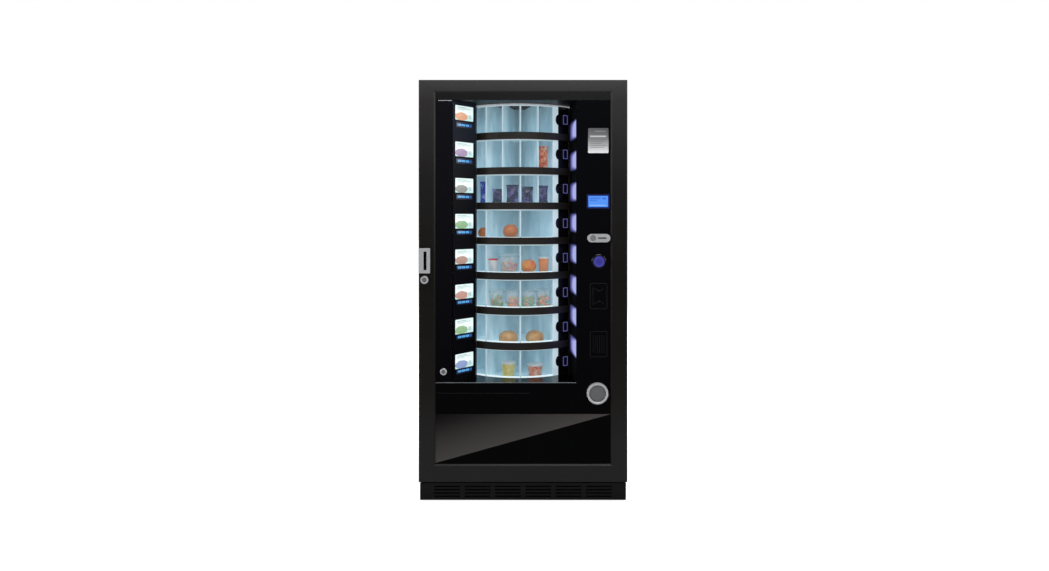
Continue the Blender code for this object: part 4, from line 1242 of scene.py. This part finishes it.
def screws_on(name, body, points, side, finish, radius=0.0048, height=0.0022):
    heads = repeated(SCREWS, points, [FACING[side]] * len(points), finish, Radius=radius, Height=height)
    piece(name, body, [(heads, None)], "zinc")


def back_details():
    """The rear cover's raised edge, its louvres and its screws."""
    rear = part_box("back_panel")[1].y
    y = rear - 0.0026
    cover = ring(rectangle(-0.360, 0.360, 0.500, 1.740, 0.006), rectangle(-0.352, 0.352, 0.508, 1.732, 0.004),
                 y - 0.001, y + 0.0012, BACK)
    louvre_zone = slab(rectangle(-0.300, 0.300, 0.130, 0.410, 0.008), y - 0.0012, y + 0.0008, BACK, 0.0006)
    piece("rear_covers", "cabinet", [(cover, rear_sheet), (louvre_zone, kick_paint)], "case_paint")
    rows = [(0.0, y + 0.0006, 0.150 + 0.020 * i) for i in range(13)]
    slats = repeated(BARS, rows, [(math.radians(-12), 0, 0)] * 13, rear_sheet,
                     Width=0.560, Depth=0.0016, Height=0.010)
    piece("rear_louvres", "cabinet", [(slats, None)], "case_paint")
    heads = rear - 0.0030
    points = [(side * 0.380, heads, 0.54 + 0.145 * i) for side in (-1, 1) for i in range(9)]
    points += [(x, heads, z) for x in (-0.25, -0.08, 0.08, 0.25) for z in (0.432, 1.758)]
    screws_on("rear_screws", "cabinet", points, "back", zinc)


def side_details():
    """Screw heads near the rear edge of both sides and on the top."""
    for name, side in (("left", -1), ("right", 1)):
        low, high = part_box(f"side_panel_{name}")
        x = low.x if side < 0 else high.x
        points = [(x, 0.405, 0.14 + 0.27 * i) for i in range(7)]
        screws_on(f"{name}_side_screws", "cabinet", points, name, case_paint, 0.0050, 0.0020)
    low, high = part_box("top_panel")
    points = [(x, y, high.z) for x in (-0.36, 0, 0.36) for y in (-0.26, 0.39)]
    screws_on("top_screws", "cabinet", points, "up", case_paint, 0.0050, 0.0020)


def kick_details():
    """A dark sheet behind the kick grille's slots, painted shade in place of the dim space behind them."""
    low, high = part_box("kick_grille")
    outline = rectangle(low.x + 0.010, high.x - 0.010, low.z + 0.004, high.z + 0.0035)
    # Painted shade: a dark sheet hides what stands behind the slots.
    kick_shade_sheet = slab(outline, -low.y - 0.0060, -low.y - 0.0045, FRONT)
    piece("kick_painted_shade", "cabinet", [(kick_shade_sheet, shade_black)])


def cooling_details():
    """Fins, guard rings and pipework of the cooling unit."""
    low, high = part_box("condenser")
    count = 72
    step = (high.x - low.x - 0.012) / (count - 1)
    points = [(low.x + 0.006 + i * step, low.y - 0.0030, (low.z + high.z) / 2) for i in range(count)]
    fins = repeated(BARS, points, [(0, 0, 0)] * count, fin_metal, Width=0.0007, Depth=0.006,
                    Height=high.z - low.z - 0.012)
    outer = rectangle(low.x, high.x, low.z, high.z, 0.003)
    inner = rectangle(low.x + 0.005, high.x - 0.005, low.z + 0.005, high.z - 0.005, 0.002)
    rim = ring(outer, inner, -low.y, -low.y + 0.007, FRONT)
    piece("condenser_fins", "cabinet", [(fins, None), (rim, zinc)], "fin_metal")
    low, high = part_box("evaporator")
    count = 110
    step = (high.z - low.z - 0.03) / (count - 1)
    points = [((low.x + high.x) / 2, low.y - 0.003, low.z + 0.015 + i * step) for i in range(count)]
    fins = repeated(BARS, points, [(0, 0, 0)] * count, fin_metal, Width=high.x - low.x - 0.006, Depth=0.006,
                    Height=0.0008)
    piece("evaporator_fins", "cabinet", [(fins, None)], "fin_metal")
    low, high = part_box("condenser_fan")
    centre = (low + high) / 2

    def behind_fan(radius, turn, gap):
        return centre.x + radius * math.cos(turn), high.y + gap, centre.z + radius * math.sin(turn)

    guard = []
    for radius in (0.030, 0.055, 0.080, 0.104):
        circle = [behind_fan(radius, math.tau * i / 40, 0.006) for i in range(40)]
        guard.append((tube(circle, 0.0013, True, False), zinc))
    for i in range(4):
        spoke = [behind_fan(radius, math.pi / 4 * (1 + 2 * i), 0.0078) for radius in (0.02, 0.112)]
        guard.append((tube(spoke, 0.0016, False, False), zinc))
    piece("fan_guard", "cabinet", guard, "zinc")
    low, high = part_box("compressor")
    top = high.z
    cx, cy = (low.x + high.x) / 2, (low.y + high.y) / 2
    suction = [(cx + 0.05, cy - 0.03, top - 0.02), (cx + 0.06, cy - 0.04, top + 0.03),
               (cx + 0.16, cy - 0.16, top + 0.04), (0.06, -0.185, top + 0.02), (0.075, -0.185, 0.30)]
    discharge = [(cx - 0.04, cy + 0.03, top - 0.015), (cx - 0.05, cy + 0.05, top + 0.05),
                 (-0.34, 0.30, top + 0.09), (-0.35, 0.33, 0.42), (-0.35, 0.33, 0.4448)]
    band = [(0.0905, 0.110), (0.0925, 0.110), (0.0925, 0.117), (0.0905, 0.117), (0.0905, 0.110)]
    cap = slab(rectangle(-0.022, 0.022, -0.018, 0.018, 0.004), 0, 0.012, at(cx, cy, top - 0.001), 0.002)
    piece("refrigerant_lines", "cabinet", [
        (tube(suction, 0.004), copper),
        (tube(discharge, 0.004), copper),
        (turned(band, 48, at(cx, cy, 0)), zinc),
        (cap, machine_black),
    ])


def door_details():
    """The lamp beside the window on the door's inner side, and screws round its liner."""
    x, y = -0.2420, -0.3030
    lamp = [(tube([(x, y, 0.540), (x, y, 1.720)], 0.0065, False, False), lamp_white)]
    for z in (0.532, 1.728):
        outline = rectangle(x - 0.010, x + 0.010, y - 0.010, y + 0.010, 0.003)
        lamp.append((slab(outline, z - 0.009, z + 0.009, None, 0.001), inner_white))
    piece("window_lamp", "main_door", lamp)
    liner_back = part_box("door_liner")[1].y
    points = [(side * 0.368, liner_back, 0.20 + 0.25 * i) for side in (-1, 1) for i in range(7)]
    screws_on("liner_screws", "main_door", points, "back", inner_white, 0.0045, 0.0018)


back_details()
side_details()
kick_details()
cooling_details()
door_details()


# ---- floor, light and camera

def stage():
    """A pale floor and soft light; reflections of the room itself are kept low."""
    work = bmesh.new()
    bmesh.ops.create_grid(work, x_segments=1, y_segments=1, size=30)
    floor = bpy.data.objects.new("floor", mesh_from(work))
    bpy.context.scene.collection.objects.link(floor)
    pale = Finish("floor_pale", base_color=(0.86, 0.86, 0.86, 1), roughness=0.9, emission_strength=0.80)
    pale.set(emission_color=(1, 1, 1, 1), specular_ior_level=0.0)
    floor.data.materials.append(pale.material)
    floor.visible_glossy = False

    world = bpy.data.worlds.new("room")
    bpy.context.scene.world = world
    world.use_nodes = True
    room = Tree(world.node_tree)
    background = world.node_tree.nodes["Background"]
    seen = room.node("ShaderNodeLightPath", out="Is Camera Ray")
    mirrored = room.node("ShaderNodeLightPath", out="Is Glossy Ray")
    level = seen * 0.58 + 0.42 - mirrored * 0.35
    world.node_tree.links.new(level.socket, background.inputs["Strength"])
    background.inputs["Color"].default_value = (1, 1, 1, 1)

    for name, place, target, size, power in (
        ("key_overhead", (0.6, -3.2, 4.4), (0, 0, 1.0), 2.6, 95),
        ("fill_left", (-4.2, -2.2, 2.2), (0, 0, 0.9), 2.4, 60),
        ("fill_right", (4.2, -1.6, 2.4), (0, 0, 0.9), 2.4, 50),
        ("rear", (0.8, 4.2, 3.2), (0, 0, 0.9), 2.6, 110),
    ):
        lamp = bpy.data.lights.new(name, "AREA")
        lamp.size = size
        lamp.energy = power
        holder = bpy.data.objects.new(name, lamp)
        aim = (Vector(target) - Vector(place)).to_track_quat("-Z", "Y")
        holder.matrix_world = Matrix.Translation(place) @ aim.to_matrix().to_4x4()
        bpy.context.scene.collection.objects.link(holder)


def camera():
    """A camera straight in front of the door, a little above the vendor's middle."""
    distance, height = 2.8, 1.239
    lens = bpy.data.cameras.new("camera")
    lens.sensor_width = 36
    lens.lens = 22.18
    lens.shift_x = 0.0014
    lens.shift_y = -0.0661
    holder = bpy.data.objects.new("camera", lens)
    holder.matrix_world = at(0, frame_face - distance, height) @ FRONT
    bpy.context.scene.collection.objects.link(holder)
    bpy.context.scene.camera = holder
    bpy.context.scene.view_settings.view_transform = "Standard"


stage()
camera()
